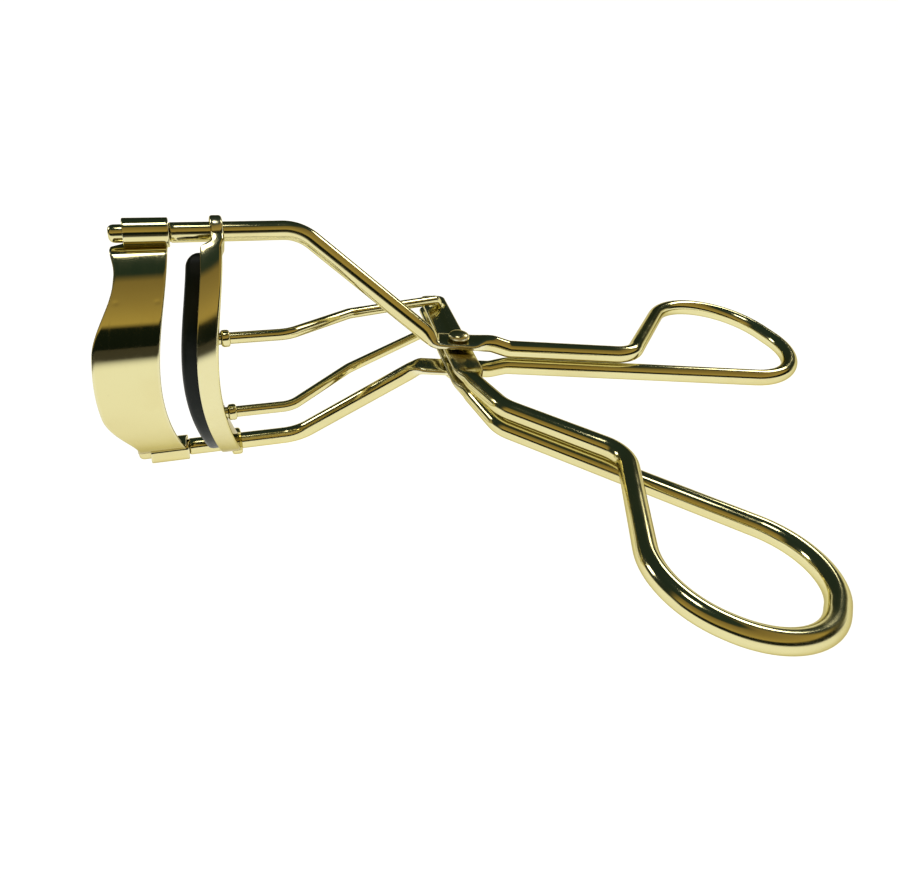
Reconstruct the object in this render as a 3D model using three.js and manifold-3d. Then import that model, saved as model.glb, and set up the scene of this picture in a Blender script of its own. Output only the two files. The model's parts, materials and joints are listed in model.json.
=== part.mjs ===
// Eyelash curler, laid on its side on a table: millimetres, +Z up, jaws towards +X.
//
// Everything is designed in the curler's own frame and then laid down as one group:
//   X runs along the frame's rods towards the jaws, Y along the pivot rivet,
//   Z is square to both, with the handles on the -Z side. The origin is the pivot's centre.
import * as THREE from "three";
import { mergeVertices } from "three/addons/utils/BufferGeometryUtils.js";
import Module from "manifold-3d";

// ---------------------------------------------------------------- driving dimensions

const degrees = (angle) => THREE.MathUtils.degToRad(angle);

const GAP = 0.3; // clearance between two pieces that touch or rub
const WIRE_RADIUS = 1.3; // frame and lever are bent from the same 2.6 mm wire
const PUSH_RADIUS = 0.78; // the thinner push rods
const BEND_STEP = degrees(15); // one ring of points for each such turn of a bend

const ROD_Y = 16.9; // half the distance between the frame's rods
const ROD_Z = 8.9; // height of the rods above the pivot
const ROD_TIP_X = 46.1;
const ROD_TIP_RADIUS = 1.15; // the rods are turned down where the fixed jaw holds them
const ROD_TIP_DOME = 0.7;
const ROD_SHOULDER = { x: 38.55, run: 0.2 }; // where the turned-down tip begins
const ROD_BEND_X = 21.9;
const ROD_BEND_RADIUS = 6;
const FRAME_RACK = 1.2; // the right rod and its end of the fixed jaw stand this far forward

const FRAME_FLAT = { y: 2.2, width: 2.2, thickness: 0.45, front: -2.4, back: 2.2 };
const RACKED_FLAT = 2.2; // the right flat begins this much further forward
const FLAT_BEND = { lead: 1, radius: 1.6 }; // the frame's bend just in front of its flats
const DRAW_IN = { from: 0.4, to: 3, radius: 3 }; // behind the flats the wires draw together
const LEVER_FLAT = { y: 1.0, width: 2.2, thickness: 0.45, top: -19.7, bottom: 7.2 };
const LEVER_END = { halfWidth: 1.4, rounding: 0.9 }; // the rounded hook ends of the lever's flats
const PRESS_RUN = 2.6; // length over which a wire goes from round to flat
const HANDLE_Y = 1.44; // half the distance between the two wires of a handle
const FRAME_HANDLE_ANGLE = degrees(16.3); // below the -X axis
const LEVER_HANDLE_ANGLE = degrees(51.6);
const LEVER_LEAN = degrees(7.8); // the lever's flats lean back at the hook end
const LEVER_CORNER = { x: 0.55, z: -18.2 };
const LEVER_CORNER_RADIUS = 5;

// Finger loops: the corners that the outer wire is bent round, as [distance along the
// handle, distance out from it, radius of the bend]. The last one meets the inner wire.
const FRAME_LOOP = [
  [27.6, 0, 4.5],
  [47.6, 35.4, 11.2],
  [63.4, 0, 9.2],
];
const LEVER_LOOP = [
  [17.1, 0, 4.5],
  [27.2, 21.4, 9.3],
  [43.1, 19.7, 10.0],
  [43.0, 0, 9.5],
];
const LOOP_APPROACH = 8; // length of the straight runs modelled before and after a loop
const SIDE_STEP_FROM = 0.35; // share of the loop after which its wire crosses over

const JAW_RADIUS = 19.15; // middle radius of both jaws' arcs, which pass through the rods
const JAW_BOW = 2.5; // the middle of both jaws stands this far forward of their ends
const JAW_CENTRE_Z = ROD_Z + Math.sqrt(JAW_RADIUS ** 2 - ROD_Y ** 2);
const ROD_ANGLE = Math.asin(ROD_Y / JAW_RADIUS);

const TUBE = { inner: 1.45, outer: 1.9, rear: 38.85, front: 44.4 }; // rolled ends of the fixed jaw
const PLATE = { thickness: 0.55, rear: 39.15, neck: 6.2, middle: 8, flare: 0.7 };
// Shares of the way from the middle of the plate to a rod between which its shape changes.
const PLATE_CHANGES = { narrowing: [0.22, 0.65], flaring: [0.7, 0.9], toTube: [0.8, 0.99] };
const PLATE_STEPS = 44;

const CHANNEL = {
  rear: 32.45,
  depth: 2.75,
  height: 2.9,
  wall: 0.45,
  full: degrees(51.5), // the channel keeps its whole depth up to this angle
  end: degrees(55.5),
  slotEnd: degrees(52.5),
};
const CHANNEL_STEPS = 32;
const EYELET = { rear: 32.3, thickness: 1.3, outer: 2.05, bore: 1.6, strapHalf: 1.476 };
const PAD = { front: 37.05, height: 1.7, end: degrees(51.2), nose: 0.7, rounding: 1.3 };
const PAD_TIP_FROM = 0.93; // share of the pad's half length after which its end drops back
const PAD_SHOULDER = 0.7; // share of the nose's depth and height where its facets meet

const PUSH_Y = 5.7; // where the push rods meet the moving jaw
const PUSH_BEND_X = 25.4;
const PUSH_SECOND_BEND = { x: 15.1, y: 4.65, z: 7.3 };
const PUSH_BEND_RADII = [4, 5, 1]; // first bend, second bend and hook
const COLLAR = { radius: 1.1, length: 1.2 };
const HOOK = { distance: 15.55, dropInHole: 0.16, hole: 1.42 };

const RIVET = { shank: 0.85, head: 1.6, headHeight: 0.9, crown: 0.96, rim: 0.27, bore: 1.15 };
const SPACER = { inner: 1.15, outer: 2.0 };

const SIDES = [
  { name: "left", sign: 1 },
  { name: "right", sign: -1 },
];

const BAR_POINTS = 24; // points round a bar or bore
const LATHE_POINTS = 28; // points round the rivet and the spacer
const CUT_BEYOND = 1; // a cutter runs this far past the faces that it opens
const SETTLING_PASSES = 5; // rounds of finding the three places that the curler lies on

const Y_AXIS = new THREE.Vector3(0, 1, 0);
const Z_AXIS = new THREE.Vector3(0, 0, 1);

// ---------------------------------------------------------------- finishes

const finish = (name, color, roughness, metalness) =>
  new THREE.MeshStandardMaterial({ name, color, roughness, metalness });

const goldPlate = finish("gold_plate", 0xcfc08a, 0.12, 1.0);
const blackRubber = finish("black_rubber", 0x111312, 0.45, 0.0);

// ---------------------------------------------------------------- solid modelling helpers

const manifold = await Module();
manifold.setup();

function toSolid(geometry) {
  const bare = new THREE.BufferGeometry();
  bare.setAttribute("position", geometry.getAttribute("position"));
  bare.setIndex(geometry.getIndex());
  const merged = mergeVertices(bare, 1e-4);
  const mesh = new manifold.Mesh({
    numProp: 3,
    vertProperties: merged.getAttribute("position").array,
    triVerts: new Uint32Array(merged.getIndex().array),
  });
  return new manifold.Manifold(mesh);
}

function toGeometry(solid) {
  const mesh = solid.getMesh();
  const geometry = new THREE.BufferGeometry();
  geometry.setAttribute("position", new THREE.BufferAttribute(mesh.vertProperties, 3));
  geometry.setIndex(new THREE.BufferAttribute(mesh.triVerts, 1));
  geometry.computeVertexNormals();
  return geometry;
}

// Skins a list of closed rings, all with the same number of points, and closes both ends.
function loft(rings) {
  const size = rings[0].length;
  const last = (rings.length - 1) * size;
  const positions = rings.flat().flatMap((point) => point.toArray());
  const faces = [];
  for (let ring = 0; ring < rings.length - 1; ring++) {
    for (let i = 0; i < size; i++) {
      const a = ring * size + i;
      const b = ring * size + ((i + 1) % size);
      faces.push(a, b, b + size, a, b + size, a + size);
    }
  }
  for (let i = 1; i < size - 1; i++) {
    faces.push(0, i + 1, i);
    faces.push(last, last + i, last + i + 1);
  }
  const geometry = new THREE.BufferGeometry();
  geometry.setAttribute("position", new THREE.Float32BufferAttribute(positions, 3));
  geometry.setIndex(faces);
  return geometry;
}

// A lofted solid, turned the right way out whichever way its rings were wound.
function loftSolid(rings) {
  const solid = toSolid(loft(rings));
  if (solid.volume() > 0) return solid;
  return toSolid(loft(rings.map((ring) => [...ring].reverse())));
}

// A round bar between two places, used for tubes, bores and collars.
function bar(radius, from, to) {
  const length = from.distanceTo(to);
  const geometry = new THREE.CylinderGeometry(radius, radius, length, BAR_POINTS);
  const direction = to.clone().sub(from).normalize();
  const turn = new THREE.Quaternion().setFromUnitVectors(Y_AXIS, direction);
  geometry.applyQuaternion(turn);
  const middle = from.clone().add(to).multiplyScalar(0.5);
  geometry.translate(middle.x, middle.y, middle.z);
  return toSolid(geometry);
}

// A cutter that runs across the whole pivot, at a place in the plane of motion.
function acrossBar(radius, place = new THREE.Vector3()) {
  const reach = 6;
  return bar(radius, place.clone().setY(-reach), place.clone().setY(reach));
}

// ---------------------------------------------------------------- bent wire

// One corner of a wire's route: where the straight runs would meet, and the bend's radius.
const corner = (point, radius = 0) => ({ point, radius });

// Replaces each corner that has a radius by the points of its round bend.
function bend(corners) {
  const route = [];
  corners.forEach(({ point, radius }, index) => {
    if (!radius) {
      route.push(point);
      return;
    }
    const back = corners[index - 1].point.clone().sub(point).normalize();
    const ahead = corners[index + 1].point.clone().sub(point).normalize();
    const turn = Math.PI - back.angleTo(ahead);
    const reach = radius * Math.tan(turn / 2);
    const middle = back.clone().add(ahead).normalize();
    const centre = point.clone().addScaledVector(middle, radius / Math.cos(turn / 2));
    const start = point.clone().addScaledVector(back, reach).sub(centre);
    const axis = start.clone().cross(point.clone().addScaledVector(ahead, reach).sub(centre));
    axis.normalize();
    const steps = Math.max(2, Math.ceil(turn / BEND_STEP));
    for (let step = 0; step <= steps; step++) {
      route.push(start.clone().applyAxisAngle(axis, (turn * step) / steps).add(centre));
    }
  });
  return route;
}

const ROUND_POINTS = 16;

// The outline of a wire that is round, or pressed flat when the two half sizes differ.
// It has level top and bottom edges, so that a pressed wire has true flat faces.
function wireOutline(halfWidth, halfThickness) {
  const end = Math.min(halfWidth, halfThickness);
  const outline = [];
  for (let i = 0; i < ROUND_POINTS; i++) {
    const angle = ((i + 0.5) * 2 * Math.PI) / ROUND_POINTS;
    const side = Math.cos(angle);
    const up = Math.sin(angle);
    outline.push([
      Math.sign(side) * (halfWidth - end) + end * side,
      Math.sign(up) * (halfThickness - end) + end * up,
    ]);
  }
  return outline;
}

// Sweeps a wire along a route. halfSizes(point, index) gives its half width and half
// thickness; the thickness is measured towards the reference direction.
function sweepWire(route, halfSizes, reference) {
  const rings = route.map((point, index) => {
    const before = route[Math.max(index - 1, 0)];
    const after = route[Math.min(index + 1, route.length - 1)];
    const tangent = directionThrough(before, point, after);
    const up = reference.clone().addScaledVector(tangent, -reference.dot(tangent)).normalize();
    const side = tangent.clone().cross(up);
    const [halfWidth, halfThickness] = halfSizes(point, index);
    return wireOutline(halfWidth, halfThickness).map(([across, over]) =>
      point.clone().addScaledVector(side, across).addScaledVector(up, over),
    );
  });
  return loftSolid(rings);
}

function directionThrough(before, point, after) {
  const arriving = point.clone().sub(before);
  const leaving = after.clone().sub(point);
  const direction = new THREE.Vector3();
  if (arriving.length() > 0) direction.add(arriving.normalize());
  if (leaving.length() > 0) direction.add(leaving.normalize());
  return direction.normalize();
}

// How far a wire is pressed at a distance along its run: 0 is round, 1 is fully flat.
function pressAt(distance, from, to) {
  const entering = THREE.MathUtils.smoothstep(distance, from - PRESS_RUN, from);
  const leaving = 1 - THREE.MathUtils.smoothstep(distance, to, to + PRESS_RUN);
  return Math.min(entering, leaving);
}

// Where a wire's section changes after the end of its pressed flat.
const pressStops = (end) => [end, end + PRESS_RUN / 2, end + PRESS_RUN];

// ---------------------------------------------------------------- handles and finger loops

// A handle lies in the plane of motion: `along` runs away from the pivot and `out` turns
// away from the other handle.
function handle(originX, originZ, angle, outwards) {
  const along = new THREE.Vector3(-Math.cos(angle), 0, -Math.sin(angle));
  const out = new THREE.Vector3(-Math.sin(angle), 0, Math.cos(angle)).multiplyScalar(outwards);
  const origin = new THREE.Vector3(originX, 0, originZ);
  const place = (distance, offset, y) =>
    origin.clone().addScaledVector(along, distance).addScaledVector(out, offset).setY(y);
  return { along, place };
}

// Where both wires of a handle end their straight run before the loop.
const loopApproach = (corners) => corners[0][0] - LOOP_APPROACH;

// The finger loop's route, from the outer wire's first bend round to the inner wire, with a
// side step from one wire's plane to the other's.
function fingerLoop(place, corners) {
  const ends = [corners.at(0)[0], corners.at(-1)[0]].map((along) => along - LOOP_APPROACH);
  const route = bend([
    corner(place(ends[0], 0, 0)),
    ...corners.map(([along, out, radius]) => corner(place(along, out, 0), radius)),
    corner(place(ends[1], 0, 0)),
  ]).slice(1, -1);
  const travelled = [0];
  for (let i = 1; i < route.length; i++) {
    travelled.push(travelled[i - 1] + route[i].distanceTo(route[i - 1]));
  }
  return route.map((point, i) => {
    const share = travelled[i] / travelled.at(-1);
    const sideStep = THREE.MathUtils.smoothstep(share, SIDE_STEP_FROM, 1);
    return point.setY(HANDLE_Y * (1 - 2 * sideStep));
  });
}

// ---------------------------------------------------------------- frame wire

const frameHandle = handle(0, 0, FRAME_HANDLE_ANGLE, 1);
const distanceBehindPivot = (point) => point.x * frameHandle.along.x + point.z * frameHandle.along.z;

// How far forward the frame's racking carries a place at this distance across it.
const rackAt = (y) => (FRAME_RACK * (1 - y / ROD_Y)) / 2;

// Where a flat begins in front of the pivot: the racked side's flat reaches further forward.
const flatFront = (sign) => FRAME_FLAT.front - (sign < 0 ? RACKED_FLAT : 0);

function frameSideRoute({ sign }) {
  const flatY = sign * FRAME_FLAT.y;
  const flatPoint = (distance) => frameHandle.place(distance, 0, flatY);
  const flatCorner = flatPoint(flatFront(sign) - FLAT_BEND.lead);
  const rodCorner = rodPoint(ROD_BEND_X, sign);
  const slope = rodCorner.clone().sub(flatCorner).normalize();
  const alongSlope = (distance) => flatCorner.clone().addScaledVector(slope, distance);
  const pressEnd = FRAME_FLAT.back + PRESS_RUN;
  const { x: shoulderX, run } = ROD_SHOULDER;
  const rodStops = [ROD_TIP_X, ROD_TIP_X - ROD_TIP_DOME, shoulderX + run / 2, shoulderX - run / 2];
  const handlePoint = (distance) => frameHandle.place(distance, 0, sign * HANDLE_Y);
  return bend([
    ...rodStops.map((x) => corner(rodPoint(x, sign))),
    corner(rodCorner, ROD_BEND_RADIUS),
    corner(alongSlope(PRESS_RUN + FLAT_BEND.lead)),
    corner(alongSlope((PRESS_RUN + FLAT_BEND.lead) / 2)),
    corner(flatCorner, FLAT_BEND.radius),
    ...pressStops(FRAME_FLAT.back).map((distance) => corner(flatPoint(distance))),
    corner(flatPoint(pressEnd + DRAW_IN.from), DRAW_IN.radius),
    corner(handlePoint(pressEnd + DRAW_IN.to), DRAW_IN.radius),
    corner(handlePoint(loopApproach(FRAME_LOOP))),
  ]);
}

// A point on the axis of the left or right rod.
const rodPoint = (x, sign) => new THREE.Vector3(x + rackAt(sign * ROD_Y), sign * ROD_Y, ROD_Z);

function frameWireSize(point) {
  const x = point.x - rackAt(point.y);
  if (x > ROD_TIP_X - ROD_TIP_DOME / 2) return [ROD_TIP_RADIUS / 2, ROD_TIP_RADIUS / 2];
  if (x > ROD_SHOULDER.x) return [ROD_TIP_RADIUS, ROD_TIP_RADIUS];
  const front = flatFront(Math.sign(point.y));
  const press = pressAt(distanceBehindPivot(point), front, FRAME_FLAT.back);
  return [
    THREE.MathUtils.lerp(WIRE_RADIUS, FRAME_FLAT.width, press),
    THREE.MathUtils.lerp(WIRE_RADIUS, FRAME_FLAT.thickness, press),
  ];
}

function frameWire() {
  const route = [
    ...frameSideRoute(SIDES[0]),
    ...fingerLoop(frameHandle.place, FRAME_LOOP),
    ...frameSideRoute(SIDES[1]).reverse(),
  ];
  return sweepWire(route, frameWireSize, Y_AXIS).subtract(acrossBar(RIVET.bore));
}

// ---------------------------------------------------------------- lever wire

const leverHandle = handle(LEVER_CORNER.x, LEVER_CORNER.z, LEVER_HANDLE_ANGLE, -1);

// The lever's flats run from the hook end down through the pivot; the distance is measured
// downwards from the pivot.
const leverDown = new THREE.Vector3(Math.sin(LEVER_LEAN), 0, -Math.cos(LEVER_LEAN));
const leverFlatPoint = (distance, y) => leverDown.clone().multiplyScalar(distance).setY(y);

function leverSideRoute({ sign }) {
  const y = sign * LEVER_FLAT.y;
  const { rounding } = LEVER_END;
  const endStops = [0, 0.1, 0.3, 0.6, 1].map((share) => LEVER_FLAT.top + share * rounding);
  const stops = [...endStops, 0, ...pressStops(LEVER_FLAT.bottom)];
  return bend([
    ...stops.map((distance) => corner(leverFlatPoint(distance, y))),
    corner(leverHandle.place(0, 0, sign * HANDLE_Y), LEVER_CORNER_RADIUS),
    corner(leverHandle.place(loopApproach(LEVER_LOOP), 0, sign * HANDLE_Y)),
  ]);
}

function leverWireSize(point) {
  const distance = point.x * leverDown.x + point.z * leverDown.z;
  const press = pressAt(distance, LEVER_FLAT.top, LEVER_FLAT.bottom);
  const fromRounding = 1 - Math.min((distance - LEVER_FLAT.top) / LEVER_END.rounding, 1);
  const widening = Math.sqrt(1 - fromRounding ** 2);
  const flatWidth = THREE.MathUtils.lerp(LEVER_END.halfWidth, LEVER_FLAT.width, widening);
  return [
    THREE.MathUtils.lerp(WIRE_RADIUS, flatWidth, press),
    THREE.MathUtils.lerp(WIRE_RADIUS, LEVER_FLAT.thickness, press),
  ];
}

const hookHolePlace = () => leverFlatPoint(-HOOK.distance, 0);

function leverWire() {
  const route = [
    ...leverSideRoute(SIDES[0]),
    ...fingerLoop(leverHandle.place, LEVER_LOOP),
    ...leverSideRoute(SIDES[1]).reverse(),
  ];
  return sweepWire(route, leverWireSize, Y_AXIS)
    .subtract(acrossBar(RIVET.bore))
    .subtract(acrossBar(HOOK.hole, hookHolePlace()));
}

// ---------------------------------------------------------------- jaws

// A point on a jaw's arc: the angle is measured from the arc's lowest point towards +Y, and
// x is its place beside the rods, from which the jaw bows forward.
function jawPoint(x, angle, radius) {
  const share = Math.min(Math.abs(angle) / ROD_ANGLE, 1);
  const bow = (JAW_BOW * (1 + Math.cos(Math.PI * share))) / 2;
  return new THREE.Vector3(
    x + bow,
    radius * Math.sin(angle),
    JAW_CENTRE_Z - radius * Math.cos(angle),
  );
}

// Builds a strip along a jaw's arc from the outline that sectionAt(angle) gives as
// [x, radius] pairs.
function jawStrip(endAngle, steps, sectionAt) {
  const rings = [];
  for (let step = 0; step <= steps; step++) {
    const angle = endAngle * ((2 * step) / steps - 1);
    rings.push(sectionAt(angle).map(([x, radius]) => jawPoint(x, angle, radius)));
  }
  return loftSolid(rings);
}

const rectangle = (rear, front, inner, outer) => [
  [rear, inner],
  [front, inner],
  [front, outer],
  [rear, outer],
];

function fixedJaw() {
  const tubeMiddle = (TUBE.inner + TUBE.outer) / 2;
  const plate = jawStrip(ROD_ANGLE, PLATE_STEPS, (angle) => {
    const share = Math.abs(angle) / ROD_ANGLE;
    const changed = (name) => THREE.MathUtils.smoothstep(share, ...PLATE_CHANGES[name]);
    const radius = JAW_RADIUS - tubeMiddle * changed("toTube");
    const flare = PLATE.flare * changed("flaring");
    const width = THREE.MathUtils.lerp(PLATE.middle, PLATE.neck, changed("narrowing")) + flare;
    const half = PLATE.thickness / 2;
    const rear = PLATE.rear + rackAt(radius * Math.sin(angle));
    return rectangle(rear, rear + width, radius - half, radius + half);
  });
  let jaw = plate;
  for (const { sign } of SIDES) {
    jaw = jaw.add(rodTube(TUBE.outer, TUBE.rear, TUBE.front, sign));
  }
  for (const { sign } of SIDES) {
    const bore = rodTube(TUBE.inner, TUBE.rear - CUT_BEYOND, ROD_TIP_X + CUT_BEYOND, sign);
    jaw = jaw.subtract(bore);
  }
  return jaw;
}

// A round bar along one of the rods.
const rodTube = (radius, rear, front, sign) =>
  bar(radius, rodPoint(rear, sign), rodPoint(front, sign));

function movingJaw() {
  const inner = JAW_RADIUS - CHANNEL.height / 2;
  const outer = JAW_RADIUS + CHANNEL.height / 2;
  const front = CHANNEL.rear + CHANNEL.depth;
  const slotRear = CHANNEL.rear + CHANNEL.wall;
  const eyeletFront = EYELET.rear + EYELET.thickness;
  const body = jawStrip(CHANNEL.end, CHANNEL_STEPS, (angle) => {
    const narrowing = THREE.MathUtils.smoothstep(Math.abs(angle), CHANNEL.full, CHANNEL.end);
    const lip = THREE.MathUtils.lerp(front, eyeletFront, narrowing);
    return rectangle(CHANNEL.rear, lip, inner, outer);
  });
  const slot = jawStrip(CHANNEL.slotEnd, CHANNEL_STEPS, () =>
    rectangle(slotRear, front + CUT_BEYOND, inner + CHANNEL.wall, outer - CHANNEL.wall),
  );
  const { strapHalf } = EYELET;
  const straps = jawStrip(ROD_ANGLE, CHANNEL_STEPS, () =>
    rectangle(EYELET.rear, eyeletFront, JAW_RADIUS - strapHalf, JAW_RADIUS + strapHalf),
  );
  const middle = jawStrip(CHANNEL.slotEnd, CHANNEL_STEPS, () =>
    rectangle(slotRear, front + CUT_BEYOND, inner - CUT_BEYOND, outer + CUT_BEYOND),
  );
  let jaw = body.subtract(slot).add(straps.subtract(middle));
  const onRod = (x, sign) => new THREE.Vector3(x, sign * ROD_Y, ROD_Z);
  const alongRod = (radius, beyond, sign) =>
    bar(radius, onRod(EYELET.rear - beyond, sign), onRod(eyeletFront + beyond, sign));
  for (const { sign } of SIDES) {
    jaw = jaw.add(alongRod(EYELET.outer, 0, sign));
  }
  for (const { sign } of SIDES) {
    const pin = pushPin(sign, CHANNEL.rear - CUT_BEYOND, slotRear + CUT_BEYOND);
    jaw = jaw.subtract(alongRod(EYELET.bore, CUT_BEYOND, sign));
    jaw = jaw.subtract(bar(PUSH_RADIUS + GAP, ...pin));
  }
  return jaw;
}

function lashPad() {
  const rear = CHANNEL.rear + CHANNEL.wall + GAP;
  const halfHeight = PAD.height / 2;
  return jawStrip(PAD.end, CHANNEL_STEPS, (angle) => {
    const tip = THREE.MathUtils.smoothstep(Math.abs(angle) / PAD.end, PAD_TIP_FROM, 1);
    const nose = PAD.front - PAD.nose - PAD.rounding * tip;
    const shoulder = nose + PAD.nose * PAD_SHOULDER;
    return [
      [rear, JAW_RADIUS - halfHeight],
      [nose, JAW_RADIUS - halfHeight],
      [shoulder, JAW_RADIUS - halfHeight * PAD_SHOULDER],
      [nose + PAD.nose, JAW_RADIUS],
      [shoulder, JAW_RADIUS + halfHeight * PAD_SHOULDER],
      [nose, JAW_RADIUS + halfHeight],
      [rear, JAW_RADIUS + halfHeight],
    ];
  });
}

// ---------------------------------------------------------------- push rods

const pushAngle = Math.asin(PUSH_Y / JAW_RADIUS);
const pushStart = jawPoint(CHANNEL.rear, pushAngle, JAW_RADIUS);

function pushPin(sign, rear, front) {
  const y = sign * PUSH_Y;
  const lean = pushStart.x - CHANNEL.rear;
  return [
    new THREE.Vector3(rear + lean, y, pushStart.z),
    new THREE.Vector3(front + lean, y, pushStart.z),
  ];
}

// The rod is riveted through the channel's rear wall, runs back, steps up and in, and
// hooks through the hole of the lever's flat.
function pushRod(sign) {
  const pinEnd = pushStart.x + CHANNEL.wall + GAP / 2;
  const hole = hookHolePlace();
  const overFlat = LEVER_FLAT.y + LEVER_FLAT.thickness + GAP + PUSH_RADIUS;
  const hookZ = hole.z - HOOK.dropInHole;
  const inside = LEVER_FLAT.y - LEVER_FLAT.thickness - GAP;
  const { x, y, z } = PUSH_SECOND_BEND;
  const [firstRadius, secondRadius, hookRadius] = PUSH_BEND_RADII;
  const at = (...place) => new THREE.Vector3(...place);
  const route = bend([
    corner(at(pinEnd, sign * PUSH_Y, pushStart.z)),
    corner(at(PUSH_BEND_X, sign * PUSH_Y, pushStart.z), firstRadius),
    corner(at(x, sign * y, z), secondRadius),
    corner(at(hole.x, sign * overFlat, hookZ), hookRadius),
    corner(at(hole.x, sign * inside, hookZ)),
  ]);
  const rod = sweepWire(route, () => [PUSH_RADIUS, PUSH_RADIUS], Z_AXIS);
  const collarFront = pushStart.x - GAP;
  const collar = bar(
    COLLAR.radius,
    at(collarFront - COLLAR.length, sign * PUSH_Y, pushStart.z),
    at(collarFront, sign * PUSH_Y, pushStart.z),
  );
  return rod.add(collar);
}

// ---------------------------------------------------------------- pivot

// A solid turned round the Y axis from its [radius, y] profile.
const turned = (profile) =>
  toSolid(new THREE.LatheGeometry(profile.map(([r, y]) => new THREE.Vector2(r, y)), LATHE_POINTS));

function pivotRivet() {
  const faceY = FRAME_FLAT.y + FRAME_FLAT.thickness + GAP;
  const topY = faceY + RIVET.headHeight;
  const profile = [
    [0, -topY],
    [RIVET.crown, -topY],
    [RIVET.head, -faceY - RIVET.rim],
    [RIVET.head, -faceY],
    [RIVET.shank, -faceY],
    [RIVET.shank, faceY],
    [RIVET.head, faceY],
    [RIVET.head, faceY + RIVET.rim],
    [RIVET.crown, topY],
    [0, topY],
  ];
  return turned(profile);
}

function pivotSpacer() {
  const half = LEVER_FLAT.y - LEVER_FLAT.thickness - GAP;
  const profile = [
    [SPACER.inner, -half],
    [SPACER.outer, -half],
    [SPACER.outer, half],
    [SPACER.inner, half],
    [SPACER.inner, -half],
  ];
  return turned(profile);
}

// ---------------------------------------------------------------- lying on a table

// The lowest vertex of a mesh as seen against `up`, before (+1) or behind (-1) the pivot.
function lowestPoint(mesh, up, side) {
  const positions = mesh.geometry.getAttribute("position");
  const point = new THREE.Vector3();
  let lowest = null;
  for (let i = 0; i < positions.count; i++) {
    point.fromBufferAttribute(positions, i);
    const counts = point.x * side > 0 && (!lowest || point.dot(up) < lowest.dot(up));
    if (counts) lowest = point.clone();
  }
  return lowest;
}

// Turns the curler so that it rests on its right side, on the bend of the right rod and the
// two finger loops, with its box centred over the origin and standing on z = 0.
function layOnSide(group) {
  const frame = group.getObjectByName("frame_wire");
  const lever = group.getObjectByName("lever_wire");
  let up = Y_AXIS.clone();
  for (let pass = 0; pass < SETTLING_PASSES; pass++) {
    const rod = lowestPoint(frame, up, 1);
    const frameLoop = lowestPoint(frame, up, -1);
    const leverLoop = lowestPoint(lever, up, -1);
    up = frameLoop.sub(rod).cross(leverLoop.sub(rod)).normalize();
    if (up.y < 0) up.negate();
  }
  const ahead = new THREE.Vector3(1, 0, 0).addScaledVector(up, -up.x).normalize();
  const left = up.clone().cross(ahead);
  const stand = new THREE.Matrix4().makeBasis(ahead, left, up).transpose();
  group.quaternion.setFromRotationMatrix(stand);
  group.updateMatrixWorld(true);
  const box = new THREE.Box3().setFromObject(group, true);
  const middle = box.getCenter(new THREE.Vector3());
  group.position.set(-middle.x, -middle.y, -box.min.z);
}

// ---------------------------------------------------------------- assembly

function part(name, solid, material) {
  const mesh = new THREE.Mesh(toGeometry(solid), material);
  mesh.name = name;
  return mesh;
}

const curler = new THREE.Group();
curler.add(part("frame_wire", frameWire(), goldPlate));
curler.add(part("lever_wire", leverWire(), goldPlate));
curler.add(part("fixed_jaw", fixedJaw(), goldPlate));
curler.add(part("moving_jaw", movingJaw(), goldPlate));
curler.add(part("lash_pad", lashPad(), blackRubber));
for (const { name, sign } of SIDES) {
  curler.add(part(`push_rod_${name}`, pushRod(sign), goldPlate));
}
curler.add(part("pivot_rivet", pivotRivet(), goldPlate));
curler.add(part("pivot_spacer", pivotSpacer(), goldPlate));

layOnSide(curler);

export default curler;
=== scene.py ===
"""An eyelash curler in polished champagne-gold plate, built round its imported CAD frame.

Every piece is modelled in the curler's own axes, in millimetres, and then placed in the row
frame: x runs along the rods towards the jaws, y along the pivot rivet towards the left side,
and z is square to both, away from the handles. The origin is the middle of the rivet.
"""

import json
import logging
import math
from abc import ABC, abstractmethod
from collections.abc import Callable, Iterable, Sequence
from dataclasses import dataclass
from enum import Enum

import bpy
import numpy as np
from mathutils import Matrix, Vector


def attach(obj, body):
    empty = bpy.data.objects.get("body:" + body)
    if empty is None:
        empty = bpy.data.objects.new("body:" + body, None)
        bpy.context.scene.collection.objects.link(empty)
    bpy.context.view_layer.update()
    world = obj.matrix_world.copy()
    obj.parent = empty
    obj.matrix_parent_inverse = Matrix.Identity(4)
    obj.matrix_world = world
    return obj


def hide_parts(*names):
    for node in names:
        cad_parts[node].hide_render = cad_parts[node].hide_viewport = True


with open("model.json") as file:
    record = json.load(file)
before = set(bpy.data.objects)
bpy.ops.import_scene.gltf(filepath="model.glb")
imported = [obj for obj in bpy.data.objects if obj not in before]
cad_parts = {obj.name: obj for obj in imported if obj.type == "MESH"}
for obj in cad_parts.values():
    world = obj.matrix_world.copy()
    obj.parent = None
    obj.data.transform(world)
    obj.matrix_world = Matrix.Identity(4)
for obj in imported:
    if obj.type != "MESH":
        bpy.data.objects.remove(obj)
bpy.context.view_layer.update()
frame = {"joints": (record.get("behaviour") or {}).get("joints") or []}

MM = 0.001
LOG = logging.getLogger("eyelash_curler")

Profile = Sequence[tuple[float, float]]
SizeRule = Callable[[Vector], tuple[float, float]]
Tone = tuple[float, float, float, float]
Band = tuple[float, float]


class Body(Enum):
    """The moving bodies of the CAD frame."""

    FRAME = "frame"
    LEVER = "lever"
    JAW_CARRIAGE = "jaw_carriage"


class Slot(Enum):
    """The record's material slots."""

    GOLD = "gold_plate"
    RUBBER = "black_rubber"


class Side(Enum):
    """The two sides of the curler, as the sign of y."""

    LEFT = 1
    RIGHT = -1


# ------------------------------------------------------------------ small maths


def mix(start: float, end: float, share: float) -> float:
    """Straight-line blend from start to end."""
    return start + (end - start) * share


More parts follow.
